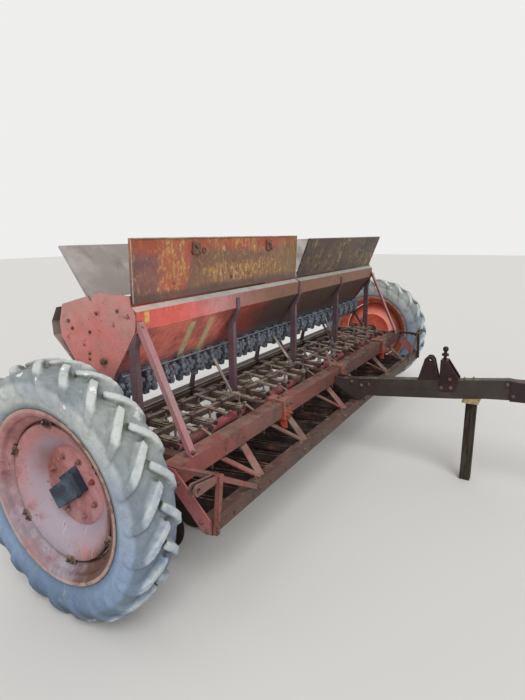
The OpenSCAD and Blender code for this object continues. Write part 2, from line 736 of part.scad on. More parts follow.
// Half of the tyre's wall, from its bead to the crown: share of the wall's height, distance from the middle
tyre_out = [[0.45, tyre_half - 5], [0.86, tyre_half - 16]];
tyre_in = [[0.76, tyre_half - 34]];
module tyre(s) {
    outer = concat([[bead_r, bead_half]], [for (w = tyre_out) [wall_r(w[0]), w[1]]]);
    inner = concat([[bead_r + 10, bead_half - 8]], [for (w = tyre_in) [wall_r(w[0]), w[1]]]);
    n = len(outer) - 1;
    m = len(inner) - 1;
    translate([s * wheel_x, 0, axle_z]) rotate([0, 90, 0]) union() {
        rotate_extrude($fn = 2 * lug_count) polygon(concat(
            outer, [[tread_r, 0]], [for (i = [n : -1 : 0]) [outer[i][0], -outer[i][1]]],
            [for (w = inner) [w[0], -w[1]]], [[wall_r(0.88), 0]], [for (i = [m : -1 : 0]) inner[i]]));
        for (i = [0 : lug_count - 1], side = [-1, 1])
            rotate([0, 0, (i + (side > 0 ? 0.5 : 0)) * 360 / lug_count]) rotate([90, 0, 90])
                rotate([0, 0, 180 - side * lug_angle]) tread_lug();
    }
}

// One lug runs from the tread's middle over the shoulder, in a frame whose Z is the wheel's radius
module tread_lug() {
    reach = tyre_half / sin(lug_angle);
    translate([0, lug_w / 2, 0]) rotate([90, 0, 0]) linear_extrude(lug_w)
        polygon([[-8, tread_r - 10], [-8, tyre_r - 0.3], [reach - 42, tyre_r - 11], [reach - 6, tread_r - 10],
            [reach - 6, wall_r(0.68)]]);
}

// Profiles of the rim and of the disc set in it; tabs join the two
disc_rim_r = bead_r - 70;
disc_step_r = 150;
tab_count = 6;
tab_turn = 5;
module rim(s) {
    well = bead_r - 58;
    translate([s * wheel_x, 0, axle_z]) rotate([0, 90, 0]) rotate([s > 0 ? 0 : 180, 0, 0]) {
        rotate_extrude($fn = 96) polygon([[rim_r, 104], [rim_r, 97], [bead_r - 0.3, bead_half + 0.6],
            [bead_r - 8, 60], [bead_r - 50, 20], [bead_r - 50, -20], [bead_r - 8, -60],
            [bead_r - 0.3, -bead_half - 0.6], [rim_r, -97], [rim_r, -104], [bead_r - 10, -96],
            [bead_r - 16, -62], [well, -22], [well, 22], [bead_r - 16, 64], [bead_r - 10, 96]]);
        rotate_extrude($fn = 96) polygon([[disc_rim_r, 8], [disc_rim_r - 14, 34], [240, 62],
            [disc_step_r + 8, 68], [disc_step_r - 8, 52], [62, 52], [62, 44], [disc_step_r - 4, 44],
            [disc_step_r + 12, 60], [238, 54], [disc_rim_r - 20, 27], [disc_rim_r - 8, 4]]);
        for (i = [0 : tab_count - 1]) rotate([0, 0, tab_turn + i * 360 / tab_count])
            translate([disc_rim_r - 10, -20, 6]) cube([well + 3 - disc_rim_r + 10, 40, 10]);
    }
}

// The hub carries a square cap, turned a little, with a notch in one corner
cap_w = 112;
cap_h = 54;
cap_turn = 24;
module hub(s) {
    translate([s * wheel_x, 0, axle_z]) rotate([0, 90, 0]) rotate([s > 0 ? 0 : 180, 0, 0]) difference() {
        union() {
            rotate_extrude($fn = 64) polygon([[axle_r + 0.05, -60], [61, -60], [61, 52.3], [109, 52.3],
                [109, 62], [0, 62], [0, 56], [axle_r + 0.05, 56]]);
            rotate([0, 0, cap_turn]) translate([-cap_w / 2, -cap_w / 2 + 8, 60])
                cube([cap_w, cap_w - 16, cap_h]);
        }
        rotate([0, 0, cap_turn]) translate([cap_w / 2 - 30, -cap_w / 2 - 1, 80]) cube([31, 40, cap_h]);
    }
}

module tyre_right() { color("lightsteelblue") stand() tyre(-1); }
module rim_right() { color("palevioletred") stand() rim(-1); }
module hub_right() { color("dimgray") stand() hub(-1); }
module tyre_left() { color("lightsteelblue") stand() tyre(1); }
module rim_left() { color("orangered") stand() rim(1); }
module hub_left() { color("dimgray") stand() hub(1); }

upper_beam();
lower_beam();
truss_braces();
frame_ends();
frame_rails();
rear_beam();
axle_brackets();
stub_axles();
marker_brackets();
beam_clamps();
tongue_cheeks();
tongue_beam();
tongue_nose();
hitch_clevis();
cylinder_lugs();
lift_tower();
prop_post();
prop_board();
hopper_right();
hopper_left();
box_ends_right();
box_ends_left();
rear_shields();
lid_rails();
front_lid_right();
front_lid_left();
rear_lid_right();
rear_lid_left();
box_stands();
end_struts();
seed_meters();
fertiliser_meters();
feed_shafts();
shaft_bearings();
lift_shaft();
fork_shaft_front();
fork_shaft_rear();
pressure_rods_front();
pressure_rods_rear();
arm_hangers();
opener_arms_front();
opener_arms_rear();
opener_discs_front();
opener_discs_rear();
footboard();
tyre_right();
rim_right();
hub_right();
tyre_left();
rim_left();
hub_left();
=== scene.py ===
"""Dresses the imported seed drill: finishes, springs, hardware, camera and a plain studio."""

import json
import math
import random

import bmesh
import bpy
from mathutils import Matrix, Vector, noise


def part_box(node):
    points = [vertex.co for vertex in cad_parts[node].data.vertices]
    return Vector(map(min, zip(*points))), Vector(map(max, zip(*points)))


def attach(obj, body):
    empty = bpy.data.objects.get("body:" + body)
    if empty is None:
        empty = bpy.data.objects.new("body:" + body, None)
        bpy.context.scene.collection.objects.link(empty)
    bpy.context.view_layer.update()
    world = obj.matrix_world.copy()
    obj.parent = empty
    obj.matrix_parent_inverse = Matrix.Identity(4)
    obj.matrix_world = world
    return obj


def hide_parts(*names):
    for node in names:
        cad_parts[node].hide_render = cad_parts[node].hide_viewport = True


bl_info = {
    "name": "Seed Drill Dressing",
    "version": (1, 0, 0),
    "blender": (4, 5, 0),
    "location": "View3D > Sidebar > Seed Drill",
    "description": "Finishes, hardware and studio for a parked seed drill",
    "category": "Object",
}

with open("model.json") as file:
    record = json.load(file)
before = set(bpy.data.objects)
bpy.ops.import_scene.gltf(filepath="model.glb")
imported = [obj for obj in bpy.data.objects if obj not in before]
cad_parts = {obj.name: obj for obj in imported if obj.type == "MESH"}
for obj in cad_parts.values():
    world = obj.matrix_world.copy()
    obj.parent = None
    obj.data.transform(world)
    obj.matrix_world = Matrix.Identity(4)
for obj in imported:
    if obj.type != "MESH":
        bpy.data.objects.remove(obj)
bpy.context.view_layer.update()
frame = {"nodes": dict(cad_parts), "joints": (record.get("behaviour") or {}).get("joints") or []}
nodes = frame["nodes"]
joint_place = {j["name"]: Vector(j["pos_m"]) for j in frame["joints"]}
AXLE = joint_place["wheel_right_axle"]
WHEELS = {side: (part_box("tyre_" + side)[0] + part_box("tyre_" + side)[1]) / 2 for side in ("right", "left")}


def tone(code):
    """A linear colour from a web colour code."""
    parts = [int(code[i : i + 2], 16) / 255 for i in (0, 2, 4)]
    return tuple(c / 12.92 if c <= 0.04045 else ((c + 0.055) / 1.055) ** 2.4 for c in parts)


GLOSS = 0.25
# Dark rust colour, also laid into corners as painted shade
RUST_AND_SHADE_DARK = "3a2420"
RUST_WARM = "7a4630"
DUST = "8f8073"
# Painted stripes on the near wall: place along the box and height of their tops, lean
STRIPES = ((-1.332, 1.295, 0.2375), (-1.148, 1.284, 0.266))


# Shader expressions
class Link:
    """An output of a node tree that builds Math nodes when it stands in an expression."""

    def __init__(self, finish, socket):
        self.finish = finish
        self.socket = socket

    def calc(self, operation, *others):
        """A Math node with this output first."""
        return self.finish.node("ShaderNodeMath", {"operation": operation}, [self, *others])

    def turned(self, operation, other):
        """A Math node with this output second."""
        return self.finish.node("ShaderNodeMath", {"operation": operation}, [other, self])

    def __add__(self, other):
        return self.calc("ADD", other)

    def __sub__(self, other):
        return self.calc("SUBTRACT", other)

    def __mul__(self, other):
        return self.calc("MULTIPLY", other)

    def __rsub__(self, other):
        return self.turned("SUBTRACT", other)

    __radd__ = __add__
    __rmul__ = __mul__

    def between(self, low, high):
        """0 below low, 1 above high and smooth between them."""
        return self.finish.node(
            "ShaderNodeMapRange",
            {"interpolation_type": "SMOOTHSTEP"},
            {"Value": self, "From Min": low, "From Max": high},
        )


class Finish:
    """A material under construction, with its node tree."""

    def __init__(self, name):
        self.material = bpy.data.materials.new(name)
        self.material.use_nodes = True
        self.tree = self.material.node_tree
        self.surface = self.tree.nodes["Principled BSDF"]
        self.paint = None
        coords = self.tree.nodes.new("ShaderNodeTexCoord")
        self.place = Link(self, coords.outputs["Object"])
        axes = self.node("ShaderNodeSeparateXYZ", {}, [self.place], whole=True)
        self.x, self.y, self.z = (Link(self, axes.outputs[i]) for i in range(3))
        facing = self.node("ShaderNodeSeparateXYZ", {}, [Link(self, coords.outputs["Normal"])], whole=True)
        self.back, self.up = (Link(self, facing.outputs[i]) for i in (1, 2))

    def node(self, kind, settings, values, out=0, whole=False):
        """Adds a node with its settings, and links or sets its inputs by order or by name."""
        made = self.tree.nodes.new(kind)
        for key, value in settings.items():
            setattr(made, key, value)
        pairs = enumerate(values) if isinstance(values, list) else values.items()
        for key, value in pairs:
            socket = made.inputs[key]
            if isinstance(value, Link):
                self.tree.links.new(value.socket, socket)
            elif isinstance(value, (tuple, list)) and len(value) == 3 and socket.type == "RGBA":
                socket.default_value = (*value, 1)
            else:
                socket.default_value = value
        return made if whole else Link(self, made.outputs[out])

    def mix(self, first, second, factor):
        """The first colour where factor is 0, the second where it is 1; each may be a web code."""
        first, second = (tone(c) if isinstance(c, str) else c for c in (first, second))
        return self.node("ShaderNodeMix", {"data_type": "RGBA"}, {0: factor, 6: first, 7: second}, out=2)

    def lay(self, colour, share):
        """Lays a colour over the paint, by its share."""
        self.paint = self.mix(self.paint, colour, share)

    def shaded(self, colour, factor):
        """A colour made darker or lighter by a number around 1."""
        return self.node(
            "ShaderNodeMix",
            {"data_type": "RGBA", "blend_type": "MULTIPLY"},
            {0: 1.0, 6: colour, 7: self.node("ShaderNodeCombineColor", {}, [factor] * 3)},
            out=2,
        )

    def vector(self, operation, *values, out=0):
        """A Vector Math node; output 1 is a number."""
        return self.node("ShaderNodeVectorMath", {"operation": operation}, [*values], out=out)

    def from_wheel(self, side):
        """How far a place is from a wheel's middle, as a vector, and its radius about the axle."""
        away = self.vector("SUBTRACT", self.place, tuple(WHEELS[side]))
        return away, self.vector("LENGTH", self.vector("MULTIPLY", away, (0, 1, 1)), out=1)

    def noise(self, scale, detail=4.0, rough=0.55, stretch=(1, 1, 1), shift=(0, 0, 0), bend=0.0):
        """Fractal noise between 0 and 1."""
        place = self.vector("MULTIPLY_ADD", self.place, stretch, shift)
        values = {"Vector": place, "Scale": scale, "Detail": detail}
        values |= {"Roughness": rough, "Distortion": bend}
        return self.node("ShaderNodeTexNoise", {}, values)

    def patches(self, scale, low, high, rough=0.7, detail=6):
        """Ragged patches: 0 where the noise is below low and 1 where it is above high."""
        return self.noise(scale, detail, rough).between(low, high)

    def edges(self, reach, low=0.02, high=0.25):
        """1 along worn edges, from how far a rounded normal leaves the true one."""
        rounded = self.node("ShaderNodeBevel", {"samples": 4}, {"Radius": reach})
        true = Link(self, self.tree.nodes.new("ShaderNodeNewGeometry").outputs["Normal"])
        agree = self.vector("DOT_PRODUCT", rounded, true, out=1)
        return (1 - agree).between(low, high)

    def creases(self, reach, low=0.35, high=0.85):
        """1 deep in corners that lie within reach, where painted shade goes."""
        open_share = self.node("ShaderNodeAmbientOcclusion", {"samples": 6}, {"Distance": reach}, out=1)
        return 1 - open_share.between(low, high)

    def close(self, rough, height=None, depth=0.002, strength=0.6, metal=0.0):
        """Joins the paint and the other results to the surface and returns the material."""
        self.surface.inputs["Specular IOR Level"].default_value = GLOSS
        for name, value in (("Base Color", self.paint), ("Roughness", rough), ("Metallic", metal)):
            if isinstance(value, Link):
                self.tree.links.new(value.socket, self.surface.inputs[name])
            elif isinstance(value, tuple):
                self.surface.inputs[name].default_value = (*value, 1)
            else:
                self.surface.inputs[name].default_value = value
        if height is not None:
            values = {"Strength": strength, "Distance": depth, "Height": height}
            bump = self.node("ShaderNodeBump", {}, values)
            self.tree.links.new(bump.socket, self.surface.inputs["Normal"])
        return self.material


def weather(f, rust_share, dust_share, grain=1.0, edge=0.006, dust=DUST):
    """Lays rust, edge wear, dust and painted shade in corners over the paint, and closes the finish."""
    blotch = f.noise(5 * grain, 9, 0.68)
    fine = f.noise(70 * grain, 6, 0.7)
    patch = (blotch * 0.75 + fine * 0.3).between(0.82 - rust_share * 0.5, 0.9 - rust_share * 0.5)
    chips = f.patches(38 * grain, 0.66 - rust_share * 0.12, 0.7 - rust_share * 0.12, 0.75, 5)
    bare = patch.calc("MAXIMUM", chips)
    if edge:
        worn = f.edges(edge) * f.patches(22 * grain, 0.35, 0.6, 0.6, 4)
        bare = bare.calc("MAXIMUM", worn)
    rust = f.mix(RUST_AND_SHADE_DARK, RUST_WARM, f.patches(24 * grain, 0.35, 0.68, 0.7, 7))
    tinted = f.shaded(f.paint, f.noise(9 * grain, 6, 0.6) * 0.6 + fine * 0.5 + 0.46)
    body = f.mix(tinted, rust, bare)
    settled = f.up.between(0.25, 0.95) * f.patches(14 * grain, 0.62 - dust_share * 0.5, 0.72, 0.7, 8)
    film = f.patches(3.2 * grain, 0.45, 0.75, 0.6, 5) * (0.35 * dust_share)
    cover = (settled * (0.35 + 0.6 * dust_share)).calc("MAXIMUM", film)
    # Painted shade: the dark rust colour laid into corners found by ambient occlusion
    f.paint = f.mix(f.mix(body, dust, cover), RUST_AND_SHADE_DARK, f.creases(0.03) * 0.6)
    rough = 0.52 + bare * 0.3 + cover * 0.12
    height = bare * -0.6 + fine * 0.35 + cover * 0.2
    return f.close(rough.calc("MINIMUM", 0.95), height, 0.0016)


def frame_paint(name, fresh, faded, rust_share, dust_share, grain=1.0, shade=0.0):
    """Old frame paint; shade is how much painted shade darkens it towards the left end."""
    f = Finish(name)
    f.paint = f.mix(fresh, faded, f.patches(2.4, 0.35, 0.65, 0.6))
    # Painted shade: the paint grows darker towards the left end
    if shade:
        f.paint = f.shaded(f.paint, 1 - f.x.between(-1.3, 1.3) * shade)
    return weather(f, rust_share, dust_share, grain)


def box_front(name, near, far, stripes):
    """Front wall and fascia of the box, with painted shade that darkens them towards the far end, and dusty
    at the foot.
    """
    f = Finish(name)
    along = f.x.between(near, far)
    bright = f.mix("d8645c", "c78a8a", (f.x + f.noise(3, 4) * 0.3).between(near + 0.4, near + 0.8))
    # Painted shade: the fascia darkens to brown towards the far end
    fascia = f.mix(bright, "7c5846", (f.x + f.noise(3, 5) * 0.5).between(near + 0.7, near + 1.6))
    runs = f.noise(1.0, 6, 0.7, (70, 1, 4), (3, 0, 1)).between(0.52, 0.62) * f.z.between(1.36, 1.41)
    fascia = f.mix(fascia, "6d4a42", runs * 0.5)
    f.paint = f.mix("f28878", "c0716a", f.patches(2.6, 0.42, 0.58, 0.65))
    patch = f.noise(2.0, 6, 0.65, (1, 1, 1.3), (0.4, 2, 1)).between(0.5, 0.62) * 0.7
    f.lay("7c4348", patch)
    # Painted shade: the wall darkens to dark brown towards the far end
    f.lay("96473d", (along + f.noise(2.6, 6, 0.62) * 0.6 - 0.3).between(0.2, 0.45))
    f.lay("4f3d36", (along + f.noise(3.5, 6, 0.62) * 0.6 - 0.3).between(0.45, 0.75))
    foot = (1 - f.z.between(1.045, 1.14)) * f.patches(20, 0.25, 0.6)
    f.lay("5b6672", foot * 0.7)
    drips = f.noise(1.0, 6, 0.7, (26, 1, 1.6)).between(0.5, 0.7) * f.noise(3, 4).between(0.35, 0.6)
    f.lay("4c2b2b", drips * 0.5)
    if stripes:
        ragged = f.noise(30, 6, 0.75) * 0.03 - 0.015
        speckle = f.patches(55, 0.38, 0.46, 0.8, 5)
        for top_x, top_z, lean in STRIPES:
            off = (f.x - (top_x + (top_z - f.z) * lean) + ragged).calc("ABSOLUTE", 0.0)
            mark = (1 - off.between(0.024, 0.029)) * (1 - f.z.between(1.28, 1.3))
            mark = mark * f.z.between(0.99, 1.03)
            f.lay("c9c193", mark * speckle)
        off = (f.x + 1.725 + ragged * 0.7).calc("ABSOLUTE", 0.0)
        mark = (1 - off.between(0.012, 0.02)) * f.z.between(1.34, 1.36) * (1 - f.z.between(1.4, 1.41))
        fascia = f.mix(fascia, "d9b060", mark * speckle)
    f.lay(fascia, f.z.between(1.316, 1.32))
    crown = f.z.between(1.409, 1.414)
    band = f.mix("b8a69c", "9b9a94", (f.x + f.noise(4, 5) * 0.4).between(near + 0.3, near + 0.9))
    f.lay(band, crown * f.noise(6, 5).between(0.15, 0.35))
    lining = f.mix("6f4f48", "8b706a", (f.z + f.noise(5, 6, 0.7) * 0.2).between(1.1, 1.5))
    f.lay(lining, f.back.between(-0.1, 0.1) * (1 - crown * 0.5))
    return weather(f, 0.22, 0.3, 1.1, 0)


def lid_near_paint(name):
    """Old paint of the right lid: purple and red, with a column and a low band of yellow flakes."""
    f = Finish(name)
    x = f.x + f.noise(4, 6, 0.65) * 0.24 - 0.12
    z = f.z + f.noise(5, 6, 0.65, (1, 1, 1), (3, 1, 7)) * 0.12 - 0.06
    streak = f.noise(1.0, 8, 0.72, (46, 3, 10), (1, 0, 2), 0.3)
    speck = f.noise(34, 7, 0.78, (1, 1, 0.7))
    f.paint = f.mix("875a58", "70504f", f.patches(6, 0.4, 0.6, 0.7, 7))
    f.lay("a2523f", z.between(1.66, 1.72) * (1 - x.between(-0.3, 0.0) * 0.5))
    f.lay("a85a47", x.between(-1.62, -1.54) * (1 - x.between(-1.36, -1.3)))
    right = x.between(-1.36, -1.28) * (1 - z.between(1.66, 1.7))
    brown = f.mix("84604a", "6f5347", streak.between(0.42, 0.6))
    f.lay(brown, right)
    f.lay("7f7448", x.between(-0.45, -0.15) * streak.between(0.45, 0.6) * 0.8)
    column = x.between(-1.62, -1.55) * (1 - x.between(-1.42, -1.36))
    band = x.between(-1.25, -1.1) * (1 - x.between(-0.45, -0.2)) * z.between(1.49, 1.52)
    band = band * (1 - z.between(1.58, 1.64))
    top = x.between(-1.15, -1.0) * (1 - x.between(-0.7, -0.5)) * z.between(1.66, 1.69) * 0.7
    zone = (column * 0.9).calc("MAXIMUM", band).calc("MAXIMUM", top)
    loose = speck * 0.65 + streak * 0.45
    flakes = loose.between(0.53, 0.6) * zone + loose.between(0.57, 0.64) * (1 - zone) * 0.5
    yellow = f.mix("b5824a", "cdb271", f.patches(60, 0.45, 0.65, 0.6, 4))
    f.lay(yellow, flakes.calc("MINIMUM", 0.85))
    rub = f.noise(5, 7, 0.75, (1, 1, 1.5), (3, 3, 3)).between(0.5, 0.62)
    f.lay("95755a", rub * 0.45)
    foot = 1 - f.z.between(1.47, 1.51)
    f.lay("5a4a44", foot * 0.8)
    scars = f.noise(1.0, 8, 0.75, (60, 4, 14), (7, 0, 5)).between(0.6, 0.68)
    f.lay("3a2b29", scars * 0.5)
    return weather(f, 0.15, 0.2, 1.3, 0)


def lid_far_paint(name):
    """Dark paint of the left lid with streaks of the old yellow."""
    f = Finish(name)
    f.paint = f.mix("4a3d3a", "5c4740", f.noise(3.1, 7, 0.62, (1, 1, 0.7)).between(0.42, 0.58))
    streak = f.noise(1.0, 8, 0.72, (42, 3, 9), (1, 0, 2), 0.3)
    speck = f.noise(30, 7, 0.75, (1, 1, 0.8))
    patch = f.noise(1.8, 5, 0.55, (1, 1, 1.4), (3.1, 0, 0.4)).between(0.45, 0.62)
    worn = (speck * 0.6 + streak * 0.5).between(0.55, 0.62)
    f.lay(f.mix("8d7b45", "a3945f", speck.between(0.45, 0.6)), worn * patch * 0.8)
    scars = f.noise(1.0, 8, 0.75, (60, 4, 14), (7, 0, 5)).between(0.6, 0.68)
    f.lay("2b2422", scars * 0.6)
    return weather(f, 0.2, 0.25, 1.3, 0)


def bare_sheet(name):
    """Dull zinc sheet with pale and brown stains."""
    f = Finish(name)
    f.paint = f.mix("9a928d", "b5afaa", f.patches(2.1, 0.42, 0.6, 0.6))
    stain = f.noise(1.0, 6, 0.65, (3, 3, 1.1), (4, 1, 0)).between(0.5, 0.68)
    f.lay("6d5f56", stain * 0.7)
    scratch = f.noise(1.0, 5, 0.7, (90, 6, 12)).between(0.6, 0.7)
    f.lay("c4bfba", scratch * 0.3)
    specks = f.patches(45, 0.66, 0.72, 0.8, 5)
    f.lay("5a463c", specks)
    rough = 0.42 + f.noise(8, 5, 0.6) * 0.25
    return f.close(rough, f.noise(30, 6, 0.7), 0.0015, 0.3, metal=0.55)


def steel(name, dark, light, rust_share, dust_share):
    """Dark steel between two tones, with rust and pale dust."""
    f = Finish(name)
    f.paint = f.mix(dark, light, f.patches(7, 0.4, 0.65, 0.65))
    return weather(f, rust_share, dust_share, 1.0, 0, dust="a39584")


def casting(name, base, light):
    """Rough casting with dust flecks."""
    f = Finish(name)
    f.paint = f.mix(base, light, f.patches(26, 0.42, 0.62))
    flecks = f.patches(90, 0.62, 0.68, 0.75, 4)
    f.lay("a5acb1", flecks * 0.6 * 0.7)
    return weather(f, 0.12, 0.7, 1.6, 0, dust="8b9299")


def rubber(name, side):
    """Weathered tyre with pale smears and cracks; painted light makes it pale towards its top and on its lug
    tops and dark and bluish low down, and painted shade darkens it between its lugs and in its corners.
    """
    f = Finish(name)
    radius = f.from_wheel(side)[1]
    # Painted light: dark and bluish low down, pale towards the top
    f.paint = f.mix("586b82", "8499b4", f.z.between(0.0, 0.4))
    f.lay("b9bdba", f.z.between(0.35, 1.1))
    f.lay("74859c", f.patches(3.0, 0.45, 0.62, 0.6) * 0.4)
    f.paint = f.shaded(f.paint, f.noise(20, 6, 0.7) * 0.6 + 0.7)
    # Painted highlight: the lug tops are paler
    tips = radius.between(0.585, 0.612)
    f.lay("c4c8c4", tips * f.patches(16, 0.35, 0.6) * 0.75)
    bead = 1 - radius.between(0.425, 0.47)
    f.lay("566274", bead * 0.6)
    cracks = f.patches(60, 0.56, 0.66, 0.8, 7)
    f.lay("4b535c", cracks * 0.45)
    smear = f.noise(9, 6, 0.7, (1, 1, 1), (5, 5, 5), 0.6).between(0.55, 0.68)
    f.lay("a9aba2", smear * 0.4)
    # Painted shade on the tread's floor between the lugs
    groove_shade = radius.between(0.535, 0.56) * (1 - radius.between(0.588, 0.606))
    f.lay("5c6468", groove_shade * (f.patches(7, 0.3, 0.6) * 0.3 + 0.3))
    # Painted shade in the tyre's corners
    corner = f.creases(0.07, 0.5, 1.0) * (f.patches(12, 0.3, 0.55) * 0.5 + 0.5)
    f.lay(f.mix("454e5a", "4f5344", f.z.between(0.3, 0.9)), corner)
    # Painted highlight: near-white glints on the tyre's top
    top_glints = f.noise(7, 5, 0.6, (1, 1, 1), (9, 2, 4)).between(0.6, 0.63) * f.z.between(0.95, 1.15)
    f.lay("dfe0da", top_glints)
    rough = 0.78 + f.noise(30, 4) * 0.15
    return f.close(rough, f.noise(85, 7, 0.72) + cracks * -0.5, 0.0012, 0.5)


def rim_paint(name, side, base, pale, deep, rust):
    """Wheel paint, with painted shade that turns its lower part pale in patches, and rusty at the edge."""
    f = Finish(name)
    centre = WHEELS[side]
    away, radius = f.from_wheel(side)
    # Painted shade: the wheel's lower part takes the pale colour in patches
    low = 1 - (f.z + f.noise(3, 5) * 0.3).between(centre.z - 0.15, centre.z + 0.4)
    f.paint = f.mix(base, pale, low * f.patches(3.6, 0.3, 0.5, 0.6))
    f.lay(deep, f.noise(6, 7, 0.66, (1, 1, 1), (2, 3, 1)).between(0.54, 0.64) * 0.7)
    ring = radius.between(0.2, 0.212) * (1 - radius.between(0.245, 0.3))
    f.lay(pale, ring * f.patches(5, 0.3, 0.5) * 0.7)
    plate = 1 - radius.between(0.19, 0.205)
    f.lay(f.mix(deep, base, f.patches(9, 0.4, 0.6)), plate * 0.75)
    ahead = 1 - f.y.between(centre.y - 0.3, centre.y + 0.05)
    edge = radius.between(0.27, 0.36) * (f.patches(11, 0.35, 0.6, 0.65) * 0.4 + ahead)
    f.lay(rust, edge.calc("MINIMUM", 0.95))
    lip = radius.between(0.405, 0.412)
    f.lay("b29a8c", lip * f.patches(12, 0.35, 0.55) * 0.8)
    smudge = f.vector("LENGTH", f.vector("SUBTRACT", away, (0, 0.13, 0.07)), out=1)
    smudge = smudge + f.noise(14, 6, 0.7) * 0.1
    f.lay("7a4634", (1 - smudge.between(0.06, 0.2)) * 0.8)
    # Painted shade in the wheel's corners
    corner_shade = f.creases(0.04, 0.2, 0.75)
    f.lay("3b2824", corner_shade * 0.75)
    scuff = f.noise(1.0, 7, 0.75, (12, 40, 9), (0, 1, 2), 0.4).between(0.6, 0.68)
    f.lay("d3c4bf", scuff * 0.55)
    bleed = f.patches(40, 0.63, 0.68, 0.7, 5)
    f.lay("6d3a30", bleed * 0.8)
    rough = 0.42 + f.noise(15, 5) * 0.25
    return f.close(rough, f.noise(45, 6, 0.7) - bleed * 0.6, 0.001, 0.35)


def grease(name, dark="1d2027", light="353b46"):
    """Dark slate of the hubs, greasy, with pale chips."""
    f = Finish(name)
    f.paint = f.mix(dark, light, f.patches(12, 0.4, 0.65, 0.65))
    f.lay("7b8086", f.patches(50, 0.66, 0.72, 0.75, 5))
    return f.close(0.5 + f.noise(9, 4) * 0.3, f.noise(35, 6, 0.7), 0.0012, 0.5)


def timber(name, light, dark):
    """Weathered wood with grain along its length."""
    f = Finish(name)
    grain = f.noise(1.0, 7, 0.6, (9, 90, 90), (0, 0, 0), 0.5)
    f.paint = f.mix(light, dark, grain.between(0.4, 0.62))
    f.lay("7d6f5f", f.patches(8, 0.5, 0.65, 0.6, 5) * 0.6)
    return f.close(0.82, grain, 0.0015, 0.5)


def post_bark(name):
    """Dark bark with upright grain, darkened further as painted shade."""
    f = Finish(name)
    grain = f.noise(1.0, 7, 0.65, (60, 60, 5), (0, 0, 0), 0.4)
    f.paint = f.mix("241f1c", "433932", grain.between(0.42, 0.62))
    return f.close(0.85, grain, 0.002, 0.6)


def clamp_paint(name):
    """Clamps: orange red below, dusty pink brown on their ribs and tops, with painted shade that darkens them
    towards the left end.
    """
    f = Finish(name)
    orange = f.mix("c74b2e", "a9432f", f.patches(8, 0.4, 0.6))
    f.paint = f.mix(orange, "97695d", (f.z + f.noise(9, 6, 0.7) * 0.08).between(0.66, 0.72))
    # Painted shade: darker towards the left end
    f.paint = f.shaded(f.paint, 1 - f.x.between(-0.8, 1.3) * 0.35)
    return weather(f, 0.25, 0.5, 2.0, 0.004)


def end_salmon():
    """Near end of the box: salmon red, with painted shade that makes it duller and darker towards its foot.
    """
    f = Finish("end_salmon")
    f.paint = f.mix("cb7a73", "bd8881", f.noise(2.5, 5).between(0.4, 0.6))
    # Painted shade: duller and darker towards the foot
    low = 1 - (f.z + f.noise(4, 5) * 0.12).between(1.02, 1.2)
    f.lay("7b4650", low * 0.8)
    spots = f.noise(14, 6, 0.7, (1, 1, 1), (4, 2, 8)).between(0.6, 0.66)
    f.lay("6b3a36", spots * 0.8)
    return weather(f, 0.12, 0.1, 1.4, 0.004)


def make_finishes():
    """All finishes by name."""
    made = [
        frame_paint("beam_red", "8e504b", "6b544d", 0.5, 0.5, shade=0.75),
        frame_paint("end_red", "b05b59", "94686a", 0.25, 0.3),
        frame_paint("strut_pink", "ad7276", "a07f80", 0.15, 0.35),
        frame_paint("frame_rust", "5a3f38", "4e403a", 0.45, 0.3, shade=0.4),
        frame_paint("stand_dark", "5a424b", "6d585f", 0.35, 0.25, shade=0.3),
        frame_paint("lift_pink", "b45a60", "7d5553", 0.4, 0.5),
        box_front("box_near", -1.75, 0.3, True),
        box_front("box_far", -1.3, 1.0, False),
        end_salmon(),
        lid_near_paint("lid_near"),
        lid_far_paint("lid_far"),
        bare_sheet("bare_sheet"),
        frame_paint("shield_pale", "b0928b", "96877f", 0.35, 0.3, 1.5),
        clamp_paint("casting_orange"),
        casting("casting_grey", "3f4854", "65707d"),
        steel("worn_steel", "3c302d", "574841", 0.4, 0.7),
        # Painted shade: the deep and disc steels are darkened for the shade under the drill
        steel("deep_steel", "251d1b", "352b27", 0.5, 0.3),
        steel("disc_steel", "2a2220", "3d332f", 0.5, 0.25),
        # Painted shade: the tongue's colours are darkened for the shade that falls on it
        frame_paint("tongue_grey", "3a3330", "423c38", 0.3, 0.35),
        frame_paint("tongue_maroon", "2b181b", "33262a", 0.15, 0.1),
        rubber("rubber_right", "right"),
        rubber("rubber_left", "left"),
        rim_paint("rim_paint_right", "right", "b8817f", "a095a0", "9a5a58", "5c3c32"),
        rim_paint("rim_paint_left", "left", "e86f54", "ef9f8c", "c2503a", "94563c"),
        grease("hub_black"),
        timber("wood", "b59c78", "8c7455"),
        post_bark("post"),
        steel("bolt_dark", "2e2c2d", "57504c", 0.4, 0.4),
        steel("bolt_rust", "5b4038", "7a6458", 0.5, 0.7),
        steel("spring_steel", "3b3434", "6f6258", 0.4, 0.9),
        steel("dusty_block", "4a3d37", "7b6b5e", 0.3, 0.9),
        steel("dusty_blade", "4b3a33", "77665a", 0.35, 0.9),
        casting("casting_pale", "6b747c", "959ca0"),
        steel("lid_iron", "6a4434", "8c6a4c", 0.5, 0.5),
        steel("hem_pale", "8f7a6e", "b3a79c", 0.3, 0.5),
        frame_paint("tab_right", "8a625c", "6d5a50", 0.6, 0.5, 2.5),
        frame_paint("tab_left", "a8553c", "86604c", 0.6, 0.5, 2.5),
        grease("hub_slate", "2c3440", "4c5766"),
        steel("nut_pink", "8a4f4c", "ad8a84", 0.4, 0.5),
        steel("pale_steel", "7c716a", "a39a90", 0.3, 0.6),
        # Painted shade: dark discs in the lower beam's holes
        steel("hole_shade", "1d1817", "2a2220", 0.0, 0.0),
    ]
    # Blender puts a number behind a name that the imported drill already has
    return {material.name.split(".")[0]: material for material in made}


